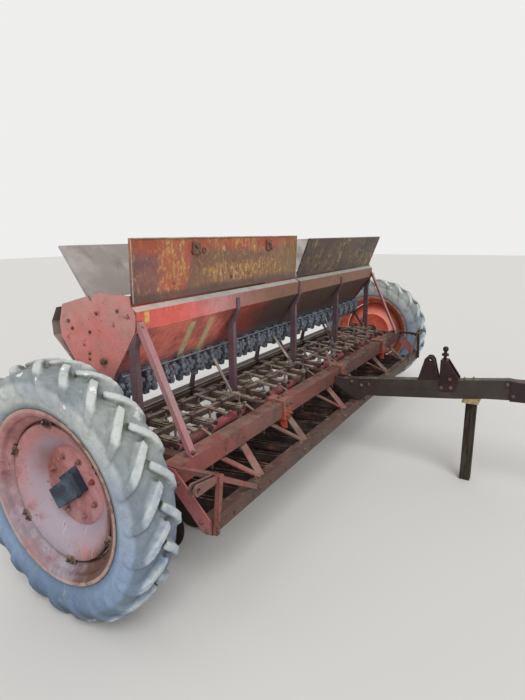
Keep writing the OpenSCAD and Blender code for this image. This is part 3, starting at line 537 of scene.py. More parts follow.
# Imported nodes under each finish
NODE_FINISH = {
    "beam_red": ("upper_beam", "truss_braces", "marker_brackets", "axle_brackets"),
    "end_red": ("frame_ends",),
    "strut_pink": ("end_struts",),
    "frame_rust": ("lower_beam", "frame_rails", "rear_beam", "footboard", "shaft_bearings"),
    "stand_dark": ("box_stands",),
    "lift_pink": ("lift_shaft",),
    "box_near": ("hopper_right",),
    "box_far": ("hopper_left", "box_ends_left"),
    "end_salmon": ("box_ends_right",),
    "lid_near": ("front_lid_right",),
    "lid_far": ("front_lid_left",),
    "bare_sheet": ("rear_lid_right", "rear_lid_left"),
    "shield_pale": ("rear_shields",),
    "casting_orange": ("beam_clamps",),
    "casting_grey": ("seed_meters", "fertiliser_meters"),
    "worn_steel": ("fork_shaft_front", "fork_shaft_rear", "pressure_rods_front", "pressure_rods_rear"),
    "deep_steel": (
        "opener_arms_front",
        "opener_arms_rear",
        "arm_hangers",
        "feed_shafts",
        "stub_axles",
        "lid_rails",
    ),
    "disc_steel": ("opener_discs_front", "opener_discs_rear"),
    "tongue_grey": ("tongue_cheeks", "tongue_beam"),
    "tongue_maroon": ("tongue_nose", "hitch_clevis", "cylinder_lugs", "lift_tower"),
    "rubber_right": ("tyre_right",),
    "rubber_left": ("tyre_left",),
    "rim_paint_right": ("rim_right",),
    "rim_paint_left": ("rim_left",),
    "hub_black": ("hub_right", "hub_left"),
    "wood": ("prop_board",),
    "post": ("prop_post",),
}


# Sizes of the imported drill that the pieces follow, in millimetres, with y measured from the axle
ROW_GAP = 150
ROWS = [-1725 + ROW_GAP * i for i in range(24)]
GANGS = {
    "front": {"rows": ROWS[0::2], "rod_y": -240, "foot_z": 413.3, "shaft_y": -108},
    "rear": {"rows": ROWS[1::2], "rod_y": -40, "foot_z": 411.0, "shaft_y": 92},
}
FORK_Z = 736
ROD_TOP = 800
SPRING_TOP = 696
BOX_HALF = 1800
BEAM_HALF = 1922
BEAM_TOP = 704
UPPER_FRONT = -413
LOWER_FRONT = -614
LOWER_TOP = 490
TONGUE_X = 50
METER_Y = 92
METER_Z = 985
METER_SEED = 7
CLAMPS = (-832, 165, 1265)
BRACE_FEET = (-1440, -895, -214, 214, 895, 1440)
RAILS = (-1800, -905, 0, 905, 1800)
RAIL_CLEARANCE = 40
END_X = 1785
ANGLE_END = 1826
# Holes along the lower beam
HOLES = 20
FIRST_HOLE = -1743
HOLE_GAP = 180
# Thin straps from the inner stands' feet up to the seed meters: place of the foot, place of the top
STAYS = ((-913, -983), (-25, -170), (911, 869))
# Bolts of the tongue: y and z of each, x from its middle, way out, height of the head, end of the thread
TONGUE_BOLTS = (
    (((-1382, 762), (-1440, 773)), 0, (0, -0.13, 1), 9, 8),
    (((-1236, 690), (-1300, 700), (-1290, 760)), -43, (-1, 0, 0), 8, 6),
    (((-1660, 776), (-1700, 700), (-1960, 740), (-1960, 780)), -47, (-1, 0, 0), 8, 6),
    (((-560, 640), (-640, 620), (-700, 636)), -47, (-1, 0, 0), 9, 7),
)
# The right front lid's hinge, and how many degrees it leans from upright
LID_HINGE = (-46, 1484)
LID_LEAN = 2
LATCHES = (-1286, -462)
# Bolts of the box's near end: y and z
END_BOLTS = ((261, 1280), (278, 1162), (282, 1130), (196, 1386), (40, 1410), (402, 1290))


def turns(count):
    """Angles that part a full turn evenly."""
    return [math.tau * i / count for i in range(count)]


class Shape:
    """Closed solids gathered in one mesh, in millimetres with y measured from the axle."""

    def __init__(self, turn=None):
        self.bm = bmesh.new()
        self.turn = turn or Matrix.Identity(4)

    def at(self, x, y=0, z=0):
        """Moves the origin for the solids that follow."""
        self.turn = Matrix.Translation((x, y, z))

    def corners(self, rings):
        """Vertices at rings of places."""
        return [[self.bm.verts.new(self.turn @ Vector(place)) for place in ring] for ring in rings]

    def skin(self, rows):
        """Faces between each row of vertices and the next."""
        count = len(rows[0])
        for near, far in zip(rows, rows[1:]):
            for i in range(count):
                j = (i + 1) % count
                self.bm.faces.new((near[i], near[j], far[j], far[i]))

    def loft(self, rings):
        """A solid between rings of places, closed at both ends."""
        rows = self.corners(rings)
        self.skin(rows)
        self.bm.faces.new(rows[0][::-1])
        self.bm.faces.new(rows[-1])

    def hoop(self, rings):
        """A solid between rings of places, from the last ring back to the first."""
        rows = self.corners(rings)
        self.skin(rows + rows[:1])

    def block(self, low, high, cut=1.5):
        """A block with chamfered edges."""

        def ring(z, inset):
            a, b, c, d = low[0] + inset, high[0] - inset, low[1] + inset, high[1] - inset
            corners = [(a, c, 1, 0), (b, c, -1, 0), (b, c, 0, 1), (b, d, 0, -1)]
            corners += [(b, d, -1, 0), (a, d, 1, 0), (a, d, 0, -1), (a, c, 0, 1)]
            return [(x + i * cut, y + j * cut, z) for x, y, i, j in corners]

        self.loft([ring(low[2], cut), ring(low[2] + cut, 0), ring(high[2] - cut, 0), ring(high[2], cut)])

    def bar(self, start, end, profile, sides=10):
        """A turned bar; its profile lists shares of its length with the radius there."""
        start, end = Vector(start), Vector(end)
        ahead = end - start
        side = ahead.orthogonal().normalized()
        over = ahead.cross(side).normalized()
        spokes = [side * math.cos(t) + over * math.sin(t) for t in turns(sides)]
        self.loft([[start + ahead * share + out * radius for out in spokes] for share, radius in profile])

    def rod(self, start, end, radius, sides=8):
        """A round rod, narrowed at its ends."""
        narrow = radius * 0.85
        self.bar(start, end, [(0, narrow), (0.02, radius), (0.98, radius), (1, narrow)], sides)

    def bolt(self, seat, out, across=19, high=9, stud=6):
        """A hexagon head on a washer, with the end of its thread."""
        seat, out = Vector(seat), Vector(out).normalized()
        radius = across / 2 / math.cos(math.pi / 6)
        washer = [(0, across * 0.72), (0.8, across * 0.72), (1, across * 0.66)]
        self.bar(seat - out * 2, seat + out * 2.5, washer, 14)
        self.bar(seat, seat + out * (2 + high), [(0, radius), (0.85, radius), (1, radius * 0.84)], 6)
        tip = seat + out * (2 + high + stud)
        self.bar(seat, tip, [(0, across * 0.3), (0.96, across * 0.3), (1, across * 0.22)], 8)

    def coil(self, foot, top, radius, wire, rounds, steps=10, sides=5):
        """A coil spring around an upright."""
        foot, top, up = Vector(foot), Vector(top), Vector((0, 0, 1))
        rings = []
        for i in range(rounds * steps + 1):
            angle = math.tau * i / steps
            out = Vector((math.cos(angle), math.sin(angle), 0))
            middle = foot.lerp(top, i / (rounds * steps)) + out * radius
            rings.append([middle + (out * math.cos(t) + up * math.sin(t)) * wire for t in turns(sides)])
        self.loft(rings)

    def ring(self, middle, axis, radius, wire, steps=24, sides=6):
        """A closed ring of round wire."""
        middle, axis = Vector(middle), Vector(axis).normalized()
        side = axis.orthogonal().normalized()
        over = axis.cross(side)
        section = [(radius + wire * math.cos(t), axis * wire * math.sin(t)) for t in turns(sides)]
        rings = []
        for t in turns(steps):
            out = side * math.cos(t) + over * math.sin(t)
            rings.append([middle + out * reach + lift for reach, lift in section])
        self.hoop(rings)

    def turned(self, middle, sign, profile, steps=96):
        """A ring turned about a wheel's axle; its profile lists distances outwards with radii."""
        rings = []
        for t in turns(steps):
            back, up = math.cos(t), math.sin(t)
            ring = [(middle.x + sign * out, middle.y + back * r, middle.z + up * r) for out, r in profile]
            rings.append(ring)
        self.hoop(rings)

    def plate(self, outline, start, thick, axis="x"):
        """A flat plate: an outline drawn out along one axis."""
        at = "xyz".index(axis)
        ends = (start, start + thick)
        self.loft([[(*place[:at], end, *place[at:]) for place in outline] for end in ends])

    def strip(self, start, end, wide, thick, up=(0, 0, 1)):
        """A flat bar from one place to another; its width lies across up."""
        start, end = Vector(start), Vector(end)
        ahead = (end - start).normalized()
        across = ahead.cross(Vector(up)).normalized() * (wide / 2)
        over = across.cross(ahead).normalized() * (thick / 2)
        corners = (across + over, across - over, -across - over, -across + over)
        self.loft([[place + corner for corner in corners] for place in (start, end)])

    def mesh(self, name):
        """Ends the solids as a mesh, as they stand."""
        bmesh.ops.recalc_face_normals(self.bm, faces=self.bm.faces)
        made = bpy.data.meshes.new(name)
        self.bm.to_mesh(made)
        self.bm.free()
        return made

    def done(self, name, finish, body, replaced=(), sharp=35):
        """Ends the solids as a piece that rides on a body."""
        mesh = self.mesh(name)
        mesh.transform(Matrix.Translation((0, AXLE.y, 0)) @ Matrix.Scale(0.001, 4))
        mesh.shade_smooth()
        mesh.set_sharp_from_angle(angle=math.radians(sharp))
        dress(name, mesh, finish, body, replaced)


def dress(name, mesh, finish, body, replaced=()):
    """An object for a mesh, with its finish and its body."""
    piece = bpy.data.objects.new(name, mesh)
    bpy.context.scene.collection.objects.link(piece)
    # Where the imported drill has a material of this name, the piece takes that one
    mesh.materials.append(bpy.data.materials[finish])
    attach(piece, body)
    if replaced:
        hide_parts(*replaced)


# Tyres
LUGS = 22
TYRE_STEPS = 144
VOXEL = 0.0064
# Outer wall of a tyre from its bead to the crown: distance from the middle, radius
TYRE_WALL = [(84, 404), (94, 412), (99, 430), (110, 456), (117, 488), (118, 520), (114, 550), (106, 573)]
TYRE_WALL += [(90, 587), (60, 592), (20, 594)]
# One lug from the tread's middle to its end low on the wall: distance, radius of its top, degrees of lead
LUG_PATH = [(-18, 616, -1.6), (-6, 624, -0.6), (30, 625, 2.4), (62, 622, 5.4), (88, 614, 8.0)]
LUG_PATH += [(106, 600, 10.0), (120, 579, 11.8), (127, 553, 13.3), (128, 526, 14.4)]
LUG_PATH += [(124, 500, 15.2), (116, 482, 15.6)]
# Half its width at its top and its foot, and its depth, at the same places
LUG_TOP = (15, 16, 17, 17, 18, 18, 18, 17, 16, 13, 9)
LUG_FOOT = (24, 26, 27, 28, 29, 29, 28, 26, 24, 20, 14)
LUG_DEEP = (34, 42, 44, 42, 40, 36, 30, 26, 22, 20, 18)
# Worn unevenness of the rubber: how fine and how high, in metres
SWELLS = ((26, 0.0012), (90, 0.0006))


def around_wheel(middle, x, radius, angle):
    """A place on a tyre in metres, from millimetres along the axle and outwards, and an angle."""
    back, up = math.cos(angle) * radius, math.sin(angle) * radius
    return Vector((middle.x + x / 1000, middle.y + back / 1000, middle.z + up / 1000))


def lug_rings(middle, side, start):
    """Sections of one lug, from the tread's middle down the wall."""
    rings = []
    last = len(LUG_PATH) - 1
    for k, (x, radius, lead) in enumerate(LUG_PATH):
        before, after = LUG_PATH[max(k - 1, 0)], LUG_PATH[min(k + 1, last)]
        swing = math.radians(after[2] - before[2]) * radius
        run = Vector((after[0] - before[0], after[1] - before[1], swing))
        out = Vector((-run.y, run.x, 0)).normalized()
        across = run.cross(out).normalized()
        top = Vector((x, radius, 0))
        foot = top - out * LUG_DEEP[k]
        ring = []
        broad, wide = LUG_FOOT[k], LUG_TOP[k]
        for place, half in ((top, wide), (top, -wide), (foot, -broad), (foot, broad)):
            corner = place + across * half
            angle = math.radians(start + lead) + corner.z / corner.y
            ring.append(around_wheel(middle, side * corner.x, corner.y, angle))
        rings.append(ring)
    return rings


def tyre_mesh(name, middle):
    """A lugged tyre, made of its wall and lugs and then joined and softened."""
    shape = Shape()
    wall = TYRE_WALL + [(-x, radius) for x, radius in reversed(TYRE_WALL)]
    shape.hoop([[around_wheel(middle, x, radius, t) for x, radius in wall] for t in turns(TYRE_STEPS)])
    for i in range(LUGS):
        for side in (1, -1):
            start = (i + (0.5 if side > 0 else 0)) * 360 / LUGS
            shape.loft(lug_rings(middle, side, start))
    draft = bpy.data.objects.new(name + "_draft", shape.mesh(name))
    bpy.context.scene.collection.objects.link(draft)
    join = draft.modifiers.new("join", "REMESH")
    join.mode = "VOXEL"
    join.voxel_size = VOXEL
    soften = draft.modifiers.new("soften", "SMOOTH")
    soften.factor = 0.5
    soften.iterations = 1
    seen = bpy.context.evaluated_depsgraph_get()
    made = bpy.data.meshes.new_from_object(draft.evaluated_get(seen))
    made.name = name
    bpy.data.objects.remove(draft)
    normals = [vertex.normal.copy() for vertex in made.vertices]
    for vertex, normal in zip(made.vertices, normals):
        vertex.co += normal * sum(noise.noise(vertex.co * fine) * high for fine, high in SWELLS)
    made.shade_smooth()
    return made


# Stage
CAMERA_PLACE = (-3.50869, -0.98977, 1.77801)
CAMERA_RIGHT = (0.51467, -0.85732, -0.01077)
CAMERA_UP = (0.20383, 0.11014, 0.97279)
CAMERA_AHEAD = (0.83281, 0.50286, -0.23144)
LENS = 24.84
FAR_CLIP = 200
# How wide the sun's disc is and how it is turned, in degrees, and the colour seen behind the drill
SUN_WIDTH = 35
SUN_TURN = (38, -18, -25)
BACKDROP = (0.86, 0.86, 0.85, 1)


class DrillStageSizes(bpy.types.PropertyGroup):
    """Sizes of the studio around the drill."""

    floor_size: bpy.props.FloatProperty(
        name="Floor size", description="Side of the studio floor", default=80.0, unit="LENGTH"
    )
    floor_colour: bpy.props.FloatVectorProperty(
        name="Floor colour",
        description="Colour of the floor",
        default=(0.62, 0.61, 0.59),
        subtype="COLOR",
    )
    sky_level: bpy.props.FloatProperty(
        name="Sky level", description="Strength of the light from all around", default=0.75
    )
    key_level: bpy.props.FloatProperty(
        name="Key level", description="Strength of the soft sun", default=1.6
    )


class DRILL_OT_finishes(bpy.types.Operator):
    """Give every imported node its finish"""

    bl_idname = "drill.finishes"
    bl_label = "Finishes"

    def execute(self, context):
        finishes = make_finishes()
        for name, members in NODE_FINISH.items():
            for member in members:
                materials = nodes[member].data.materials
                materials.clear()
                materials.append(finishes[name])
        return {"FINISHED"}


class DRILL_OT_tyres(bpy.types.Operator):
    """Make both lugged tyres"""

    bl_idname = "drill.tyres"
    bl_label = "Tyres"

    def execute(self, context):
        for side, middle in WHEELS.items():
            name = "tyre_rubber_" + side
            mesh = tyre_mesh(name, middle)
            dress(name, mesh, "rubber_" + side, "wheel_" + side, ["tyre_" + side])
        return {"FINISHED"}


# Section of a rim: distance outwards from the wheel's middle, radius
RIM_LIP = [(104, 424), (100, 426), (96, 424), (88, 402), (60, 394), (20, 352)]
RIM_INSIDE = [(22, 343), (40, 352), (52, 368), (62, 382), (68, 384), (84, 386)]
RIM_INSIDE += [(92, 390), (98, 402), (104, 416)]
RIM_SECTION = (
    RIM_LIP
    + [(-out, r) for out, r in reversed(RIM_LIP)]
    + [(-out, r) for out, r in reversed(RIM_INSIDE)]
    + RIM_INSIDE
)
# Section of the dished disc: its outer face from the rolled edge to the hub, then its back
DISH_SECTION = [(18, 338), (40, 338), (47, 334), (49, 326), (44, 312), (30, 290), (4, 252), (-22, 218)]
DISH_SECTION += [(-36, 207), (-41, 201), (-38, 194), (-34, 188), (-33, 62), (-40, 62), (-41, 187)]
DISH_SECTION += [(-46, 193), (-49, 201), (-43, 212), (-28, 224), (-3, 258), (23, 296), (37, 317)]
DISH_SECTION += [(41, 326), (40, 331), (18, 331)]
HUB_SECTION = [(-60, 30), (-60, 62), (-32, 62), (-32, 30)]
# Walls of the open hub box, each by its lowest and highest corner: outwards, along and across
HUB_BOX = [
    ((2, -114, -52), (8, 114, 52)),
    ((-35, -114, -52), (4, 114, -46)),
    ((-35, -114, -50), (4, -108, 50)),
    ((-35, 108, -50), (4, 114, 50)),
    ((-35, -50, 46), (-29, 114, 78)),
]
# Which way the box's long side points and how far its middle lies from the axle, backwards and up
BOX_LEAN = (-0.803, 0.596)
BOX_SHIFT = (18, -14)
# Each wheel: side, sign outwards, angle of the first tab, slot
WHEEL_SIDES = (("right", -1, 25, "rim_pink"), ("left", 1, -85, "rim_orange"))
TABS = 6
TAB_REACH = (36, 52)
TAB_RADII = (316, 363)
TAB_HALF = 31
TAB_BOLT_RADIUS = 342
HUB_NUTS = 8
HUB_NUT_RADIUS = 150
VALVE_ANGLE = 214
STUB_START = 1830.3
STUB_LENGTH = 380


def wheel_place(middle, sign, out, radius, degrees):
    """A place on a wheel: its distance outwards, its radius and its angle from behind."""
    angle = math.radians(degrees)
    return middle + Vector((sign * out, math.cos(angle) * radius, math.sin(angle) * radius))


class DRILL_OT_wheels(bpy.types.Operator):
    """Make the rims with their dished discs, the hubs with their open boxes, the nuts and the stub axles"""

    bl_idname = "drill.wheels"
    bl_label = "Rims and hubs"

    def execute(self, context):
        for side, sign, first, slot in WHEEL_SIDES:
            middle = WHEELS[side] * 1000
            middle.y -= AXLE.y * 1000
            out = Vector((sign, 0, 0))
            body = "wheel_" + side

            def place(reach, radius=0, degrees=0):
                return wheel_place(middle, sign, reach, radius, degrees)

            rim = Shape()
            rim.turned(middle, sign, RIM_SECTION)
            rim.turned(middle, sign, DISH_SECTION)
            rim.done("rim_" + side + "_dished", "rim_paint_" + side, body, ["rim_" + side], 40)

            tabs = Shape()
            bolts = Shape()
            low, high = sorted(sign * reach for reach in TAB_REACH)
            for i in range(TABS):
                angle = first + 360 / TABS * i
                tabs.turn = Matrix.Translation(middle) @ Matrix.Rotation(math.radians(angle), 4, "X")
                tabs.block((low, TAB_RADII[0], -TAB_HALF), (high, TAB_RADII[1], TAB_HALF), 7)
                for step in (-2.4, 2.4):
                    bolts.bolt(place(TAB_REACH[1], TAB_BOLT_RADIUS, angle + step), out, 15, 7, 5)
            tabs.done("rim_tabs_" + side, "tab_" + side, body)
            bolts.done("tab_bolts_" + side, "bolt_dark", body)

            hub = Shape()
            hub.turned(middle, sign, HUB_SECTION, 48)
            hub.bar(place(-36), place(-10), [(0, 44), (0.8, 44), (1, 38)], 20)
            hub.done("hub_barrel_" + side, "hub_black", body, ["hub_" + side])
            ahead, up = BOX_LEAN
            rows = [(sign, 0, 0, middle.x), (0, ahead, up, middle.y + BOX_SHIFT[0])]
            rows += [(0, up, -ahead, middle.z + BOX_SHIFT[1]), (0, 0, 0, 1)]
            box = Shape(Matrix(rows))
            for low, high in HUB_BOX:
                box.block(low, high, 1.2)
            box.done("hub_box_" + side, "hub_slate", body)

            nuts = Shape()
            for i in range(HUB_NUTS):
                nuts.bolt(place(-33, HUB_NUT_RADIUS, 22 + 360 / HUB_NUTS * i), out, 22, 14, 9)
            nuts.done("hub_nuts_" + side, "nut_pink", body)
            valve = Shape()
            ends = place(66, 386, VALVE_ANGLE), place(84, 352, VALVE_ANGLE)
            valve.bar(*ends, [(0, 6), (0.5, 6), (0.55, 4), (1, 4)], 8)
            valve.done("valve_" + side, "bolt_dark", body)
        stubs = Shape()
        for sign in (-1, 1):
            inner = Vector((sign * STUB_START, 0, AXLE.z * 1000))
            stubs.bar(inner, inner + Vector((sign * STUB_LENGTH, 0, 0)), [(0, 28), (0.97, 28), (1, 25)], 20)
        stubs.done("stub_axle_bars", "deep_steel", "chassis", ["stub_axles"])
        return {"FINISHED"}


class DRILL_OT_rods(bpy.types.Operator):
    """Make the pressure rods with their coil springs, collars and pins"""

    bl_idname = "drill.rods"
    bl_label = "Pressure rods"

    def execute(self, context):
        for name, gang in GANGS.items():
            rods = Shape()
            springs = Shape()
            tips = Shape()
            foot = gang["foot_z"]
            for x in gang["rows"]:
                for shape in (rods, springs, tips):
                    shape.at(x, gang["rod_y"])
                rods.bar((0, 0, foot), (0, 0, ROD_TOP), [(0, 6.5), (0.96, 6.5), (1, 4)], 8)
                rods.bar((-8, 0, foot), (8, 0, foot), [(0, 13), (0.1, 14), (0.9, 14), (1, 13)], 14)
                rods.rod((-14, 0, ROD_TOP - 18), (14, 0, ROD_TOP - 18), 2.2, 6)
                for low, high in ((foot + 84, foot + 91), (SPRING_TOP - 1, SPRING_TOP + 5)):
                    rods.bar((0, 0, low), (0, 0, high), [(0, 17.5), (1, 17.5)], 12)
                springs.coil((0, 0, foot + 94), (0, 0, SPRING_TOP - 4), 14.2, 3.1, 19)
                tips.block((-19, -20, FORK_Z - 14), (19, 20, FORK_Z + 7), 3)
                tips.bar((0, 0, FORK_Z + 6), (0, 0, FORK_Z + 20), [(0, 15), (0.8, 15), (1, 12)], 12)
            body = "rods_" + name
            rods.done(body, "worn_steel", body, ["pressure_rods_" + name])
            springs.done("springs_" + name, "spring_steel", body, sharp=60)
            tips.done("rod_blocks_" + name, "dusty_block", body)
        return {"FINISHED"}


class DRILL_OT_forks(bpy.types.Operator):
    """Cover the forks with their dusty blades and bolts"""

    bl_idname = "drill.forks"
    bl_label = "Fork blades"

    def execute(self, context):
        for name, gang in GANGS.items():
            blades = Shape()
            for x in gang["rows"]:
                blades.at(x, gang["shaft_y"], FORK_Z)
                blades.block((-19, -106, -3), (19, -20, 6), 2.5)
                for side in (-1, 1):
                    blades.bolt((side * 18, 0, 26), (0, 0, 1), 13, 6, 8)
                blades.rod((-34, -60, -15), (34, -60, -15), 5)
            for x in gang["rows"][:-1]:
                between = x + ROW_GAP
                if min(abs(between - rail) for rail in RAILS) < RAIL_CLEARANCE:
                    continue
                blades.at(between, gang["shaft_y"], FORK_Z)
                blades.block((-20, -26, -22), (20, 24, 24), 3)
                blades.strip((0, -10, 12), (0, -128, 2), 32, 12)
                blades.block((-20, -150, -16), (20, -120, 10), 4)
                blades.bolt((0, -60, 13), (0, 0, 1), 13, 6, 6)
            blades.done("fork_blades_" + name, "dusty_blade", "fork_shaft_" + name)
        return {"FINISHED"}


class DRILL_OT_meters(bpy.types.Operator):
    """Crowd the seed meters with their slides, covers, levers and bolts"""

    bl_idname = "drill.meters"
    bl_label = "Seed meters"

    def execute(self, context):
        random.seed(METER_SEED)
        cast = Shape()
        levers = Shape()
        for x in ROWS:
            cast.at(x)
            levers.at(x)
            cast.bar((-10, 62, METER_Z + 8), (-10, 50, METER_Z + 8), [(0, 21), (0.6, 21), (1, 15)], 14)
            cast.block((-33, 52, 1010), (-6, 78, 1046), 3)
            cast.block((6, 46, 998), (26, 76, 1030), 3)
            cast.block((-30, 60, 946), (12, 76, 964), 3)
            cast.bar((18, 66, 940), (18, 54, 972), [(0, 9), (0.5, 12), (1, 7)], 8)
            cast.block((42, 70, 962), (72, 112, 1004), 4)
            cast.block((50, 56, 990), (66, 84, 1040), 3)
            cast.bar((33, METER_Y, METER_Z), (48, METER_Y, METER_Z), [(0, 24), (1, 24)], 16)
            cast.bar((-48, METER_Y, METER_Z), (-33, METER_Y, METER_Z), [(0, 17), (1, 22)], 12)
            low = random.uniform(900, 925)
            cast.block((40, 78, low), (74, 120, 968), 4)
            cast.block((78, 74, 948), (104, 116, random.uniform(1010, 1032)), 4)
            cast.bar((57, 70, low + 26), (57, 84, low + 26), [(0, 10), (1, 14)], 10)
            cast.plate([(-24, 938), (24, 938), (20, 930), (-20, 930)], 84, 50, "y")
            for bolt_x, bolt_z in ((-24, 1026), (16, 1018), (-22, 955), (58, 1002)):
                cast.bolt((bolt_x, 54, bolt_z), (0, -1, 0.1), 9, 5, 3)
            lean = random.uniform(-16, 16)
            top = 1040 + lean / 2
            levers.strip((30, 66, 1004), (30 + lean, 34, top), 9, 4, (1, 0, 0))
            levers.bar((24 + lean, 34, top), (36 + lean, 34, top), [(0, 5), (1, 5)], 8)
            levers.strip((-20, 60, 980), (-26, 40, 962), 7, 4, (1, 0, 0))
        cast.done("meter_castings", "casting_grey", "chassis")
        levers.at(0)
        levers.rod((-BOX_HALF + 20, 58, 1052), (BOX_HALF - 20, 58, 1052), 4, 6)
        levers.done("meter_levers", "casting_pale", "chassis")
        return {"FINISHED"}


class DRILL_OT_box_hardware(bpy.types.Operator):
    """Fit the latches, hems, knobs and bolts of the box and its lids"""

    bl_idname = "drill.box_hardware"
    bl_label = "Box hardware"

    def execute(self, context):
        lean = Matrix.Rotation(math.radians(LID_LEAN), 4, "X")
        seat = Matrix.Translation((0, *LID_HINGE)) @ lean
        lid = Shape(seat)
        for x in LATCHES:
            lid.block((x - 34, -34, 190), (x + 34, -21, 262), 3)
            lid.block((x - 46, -27, 204), (x + 46, -21, 214), 2)
            lid.bolt((x - 22, -33, 246), (0, -1, 0), 13, 6, 3)
            lid.bolt((x + 22, -33, 204), (0, -1, 0), 13, 6, 3)
            lid.bar((x, -30, 236), (x, -46, 236), [(0, 12), (0.6, 12), (1, 8)], 12)
        lid.ring((-1212, -26, 212), (0, 1, 0), 15, 2.6)
        lid.bolt((-933, -22, 42), (0, -1, 0), 17, 8, 4)
        lid.ring((-900, -22.5, 152), (0, 1, 0), 22, 1.6)
        lid.done("lid_latches", "lid_iron", "front_lid_right")
        hem = Shape(seat)
        hem.block((-1791, -27, 281), (-24, -17, 289), 2.5)
        for x in (-1791, -30):
            hem.block((x, -26, -33), (x + 6, -18, 285), 2)
        hem.done("lid_hem", "hem_pale", "front_lid_right")

        near = Shape()
        for y, z in END_BOLTS:
            near.bolt((-BOX_HALF, y, z), (-1, 0, 0), 14, 6, 3)
        knob = [(0, 15), (0.3, 12), (0.5, 17), (0.8, 19), (1, 10)]
        near.bar((-BOX_HALF, 159, 1131), (-BOX_HALF - 30, 159, 1131), knob, 16)
        near.bar((-BOX_HALF, 430, 1330), (-BOX_HALF - 7, 430, 1330), [(0, 12), (1, 10)], 14)
        near.done("end_bolts", "bolt_rust", "chassis")
        return {"FINISHED"}


class DRILL_OT_frame_hardware(bpy.types.Operator):
    """Bolt up the frame and hang the levers, plates and thin bars on it"""

    bl_idname = "drill.frame_hardware"
    bl_label = "Frame hardware"

    def execute(self, context):
        nuts = Shape()
        for x in CLAMPS:
            for side in (-1, 1):
                for z in (690, 620):
                    nuts.bolt((x + side * 26, UPPER_FRONT - 14, z), (0, -1, 0), 22, 12, 14)
                nuts.bolt((x + side * 26, UPPER_FRONT + 40, 718), (0, 0, 1), 20, 10, 12)
        for x in BRACE_FEET:
            for side in (-1, 1):
                nuts.bolt((x + side * 52, LOWER_FRONT + 30, LOWER_TOP), (0, 0, 1), 19, 9, 10)
            nuts.bolt((x - 60, LOWER_FRONT, LOWER_TOP - 36), (0, -1, 0), 17, 7, 6)
        for x in RAILS:
            nuts.bolt((x, UPPER_FRONT + 50, BEAM_TOP), (0, 0, 1), 19, 9, 10)
        for side in (-1, 1):
            nuts.bolt((side * END_X, UPPER_FRONT + 12, BEAM_TOP + 20), (0, -1, 0.4), 19, 9, 8)
            nuts.bolt((side * END_X, -103, 1335), (0, -1, 0.2), 19, 9, 8)
            for y, z in ((-430, 640), (-560, 470), (-590, 430)):
                nuts.bolt((side * (BEAM_HALF + 10), y, z), (side, 0, 0), 16, 7, 4)
        nuts.done("frame_bolts", "bolt_rust", "chassis")

        # Painted shade: dark discs on the lower beam's face stand in for the shade inside its holes
        holes = Shape()
        for i in range(HOLES):
            x = FIRST_HOLE + HOLE_GAP * i
            holes.bar((x, LOWER_FRONT + 3, 436), (x, LOWER_FRONT - 0.6, 436), [(0, 9), (1, 9)], 12)
        holes.done("beam_hole_shades", "hole_shade", "chassis")

        levers = Shape()
        for x in ROWS[1:-1:3]:
            levers.strip((x + 62, UPPER_FRONT + 90, 690), (x + 40, -250, 742), 22, 7)
            levers.bar((x + 40, -250, 738), (x + 40, -262, 752), [(0, 12), (1, 8)], 8)
        levers.strip((60, UPPER_FRONT + 60, 700), (40, UPPER_FRONT + 90, 838), 26, 9, (0, 1, 0))
        y = UPPER_FRONT + 92
        levers.bar((38, y, 830), (38, y, 856), [(0, 11), (0.6, 13), (1, 7)], 10)
        levers.done("frame_levers", "dusty_blade", "chassis")

        bars = Shape()
        for foot, top in STAYS:
            bars.strip((foot, -45, 722), (top, 64, 990), 20, 5, (0, 1, 0))
            bars.bolt((top, 62, 976), (0, -1, 0.3), 13, 6, 3)
        bars.done("stay_straps", "pale_steel", "chassis")
        # Painted highlight: the angle along the rear beam is pale for the sunlit edge there
        edge = Shape()
        edge.block((-ANGLE_END, 306, 690), (ANGLE_END, 312, 711), 1)
        edge.block((-ANGLE_END, 306, 704), (ANGLE_END, 336, 711), 1)
        edge.done("rear_angle", "pale_steel", "chassis")
        return {"FINISHED"}


class DRILL_OT_tongue_hardware(bpy.types.Operator):
    """Fit the tongue's lap and bolts"""

    bl_idname = "drill.tongue_hardware"
    bl_label = "Tongue hardware"

    def execute(self, context):
        parts = Shape()
        for places, x, out, high, stud in TONGUE_BOLTS:
            for y, z in places:
                parts.bolt((TONGUE_X + x, y, z), out, 19, high, stud)
        parts.done("tongue_bolts", "bolt_rust", "chassis")
        lap = Shape()
        lap.plate([(-735, 552), (-735, 606), (-1044, 652), (-1318, 666), (-1318, 622)], TONGUE_X - 38, 4)
        lap.done("tongue_lap", "tongue_grey", "chassis")
        return {"FINISHED"}


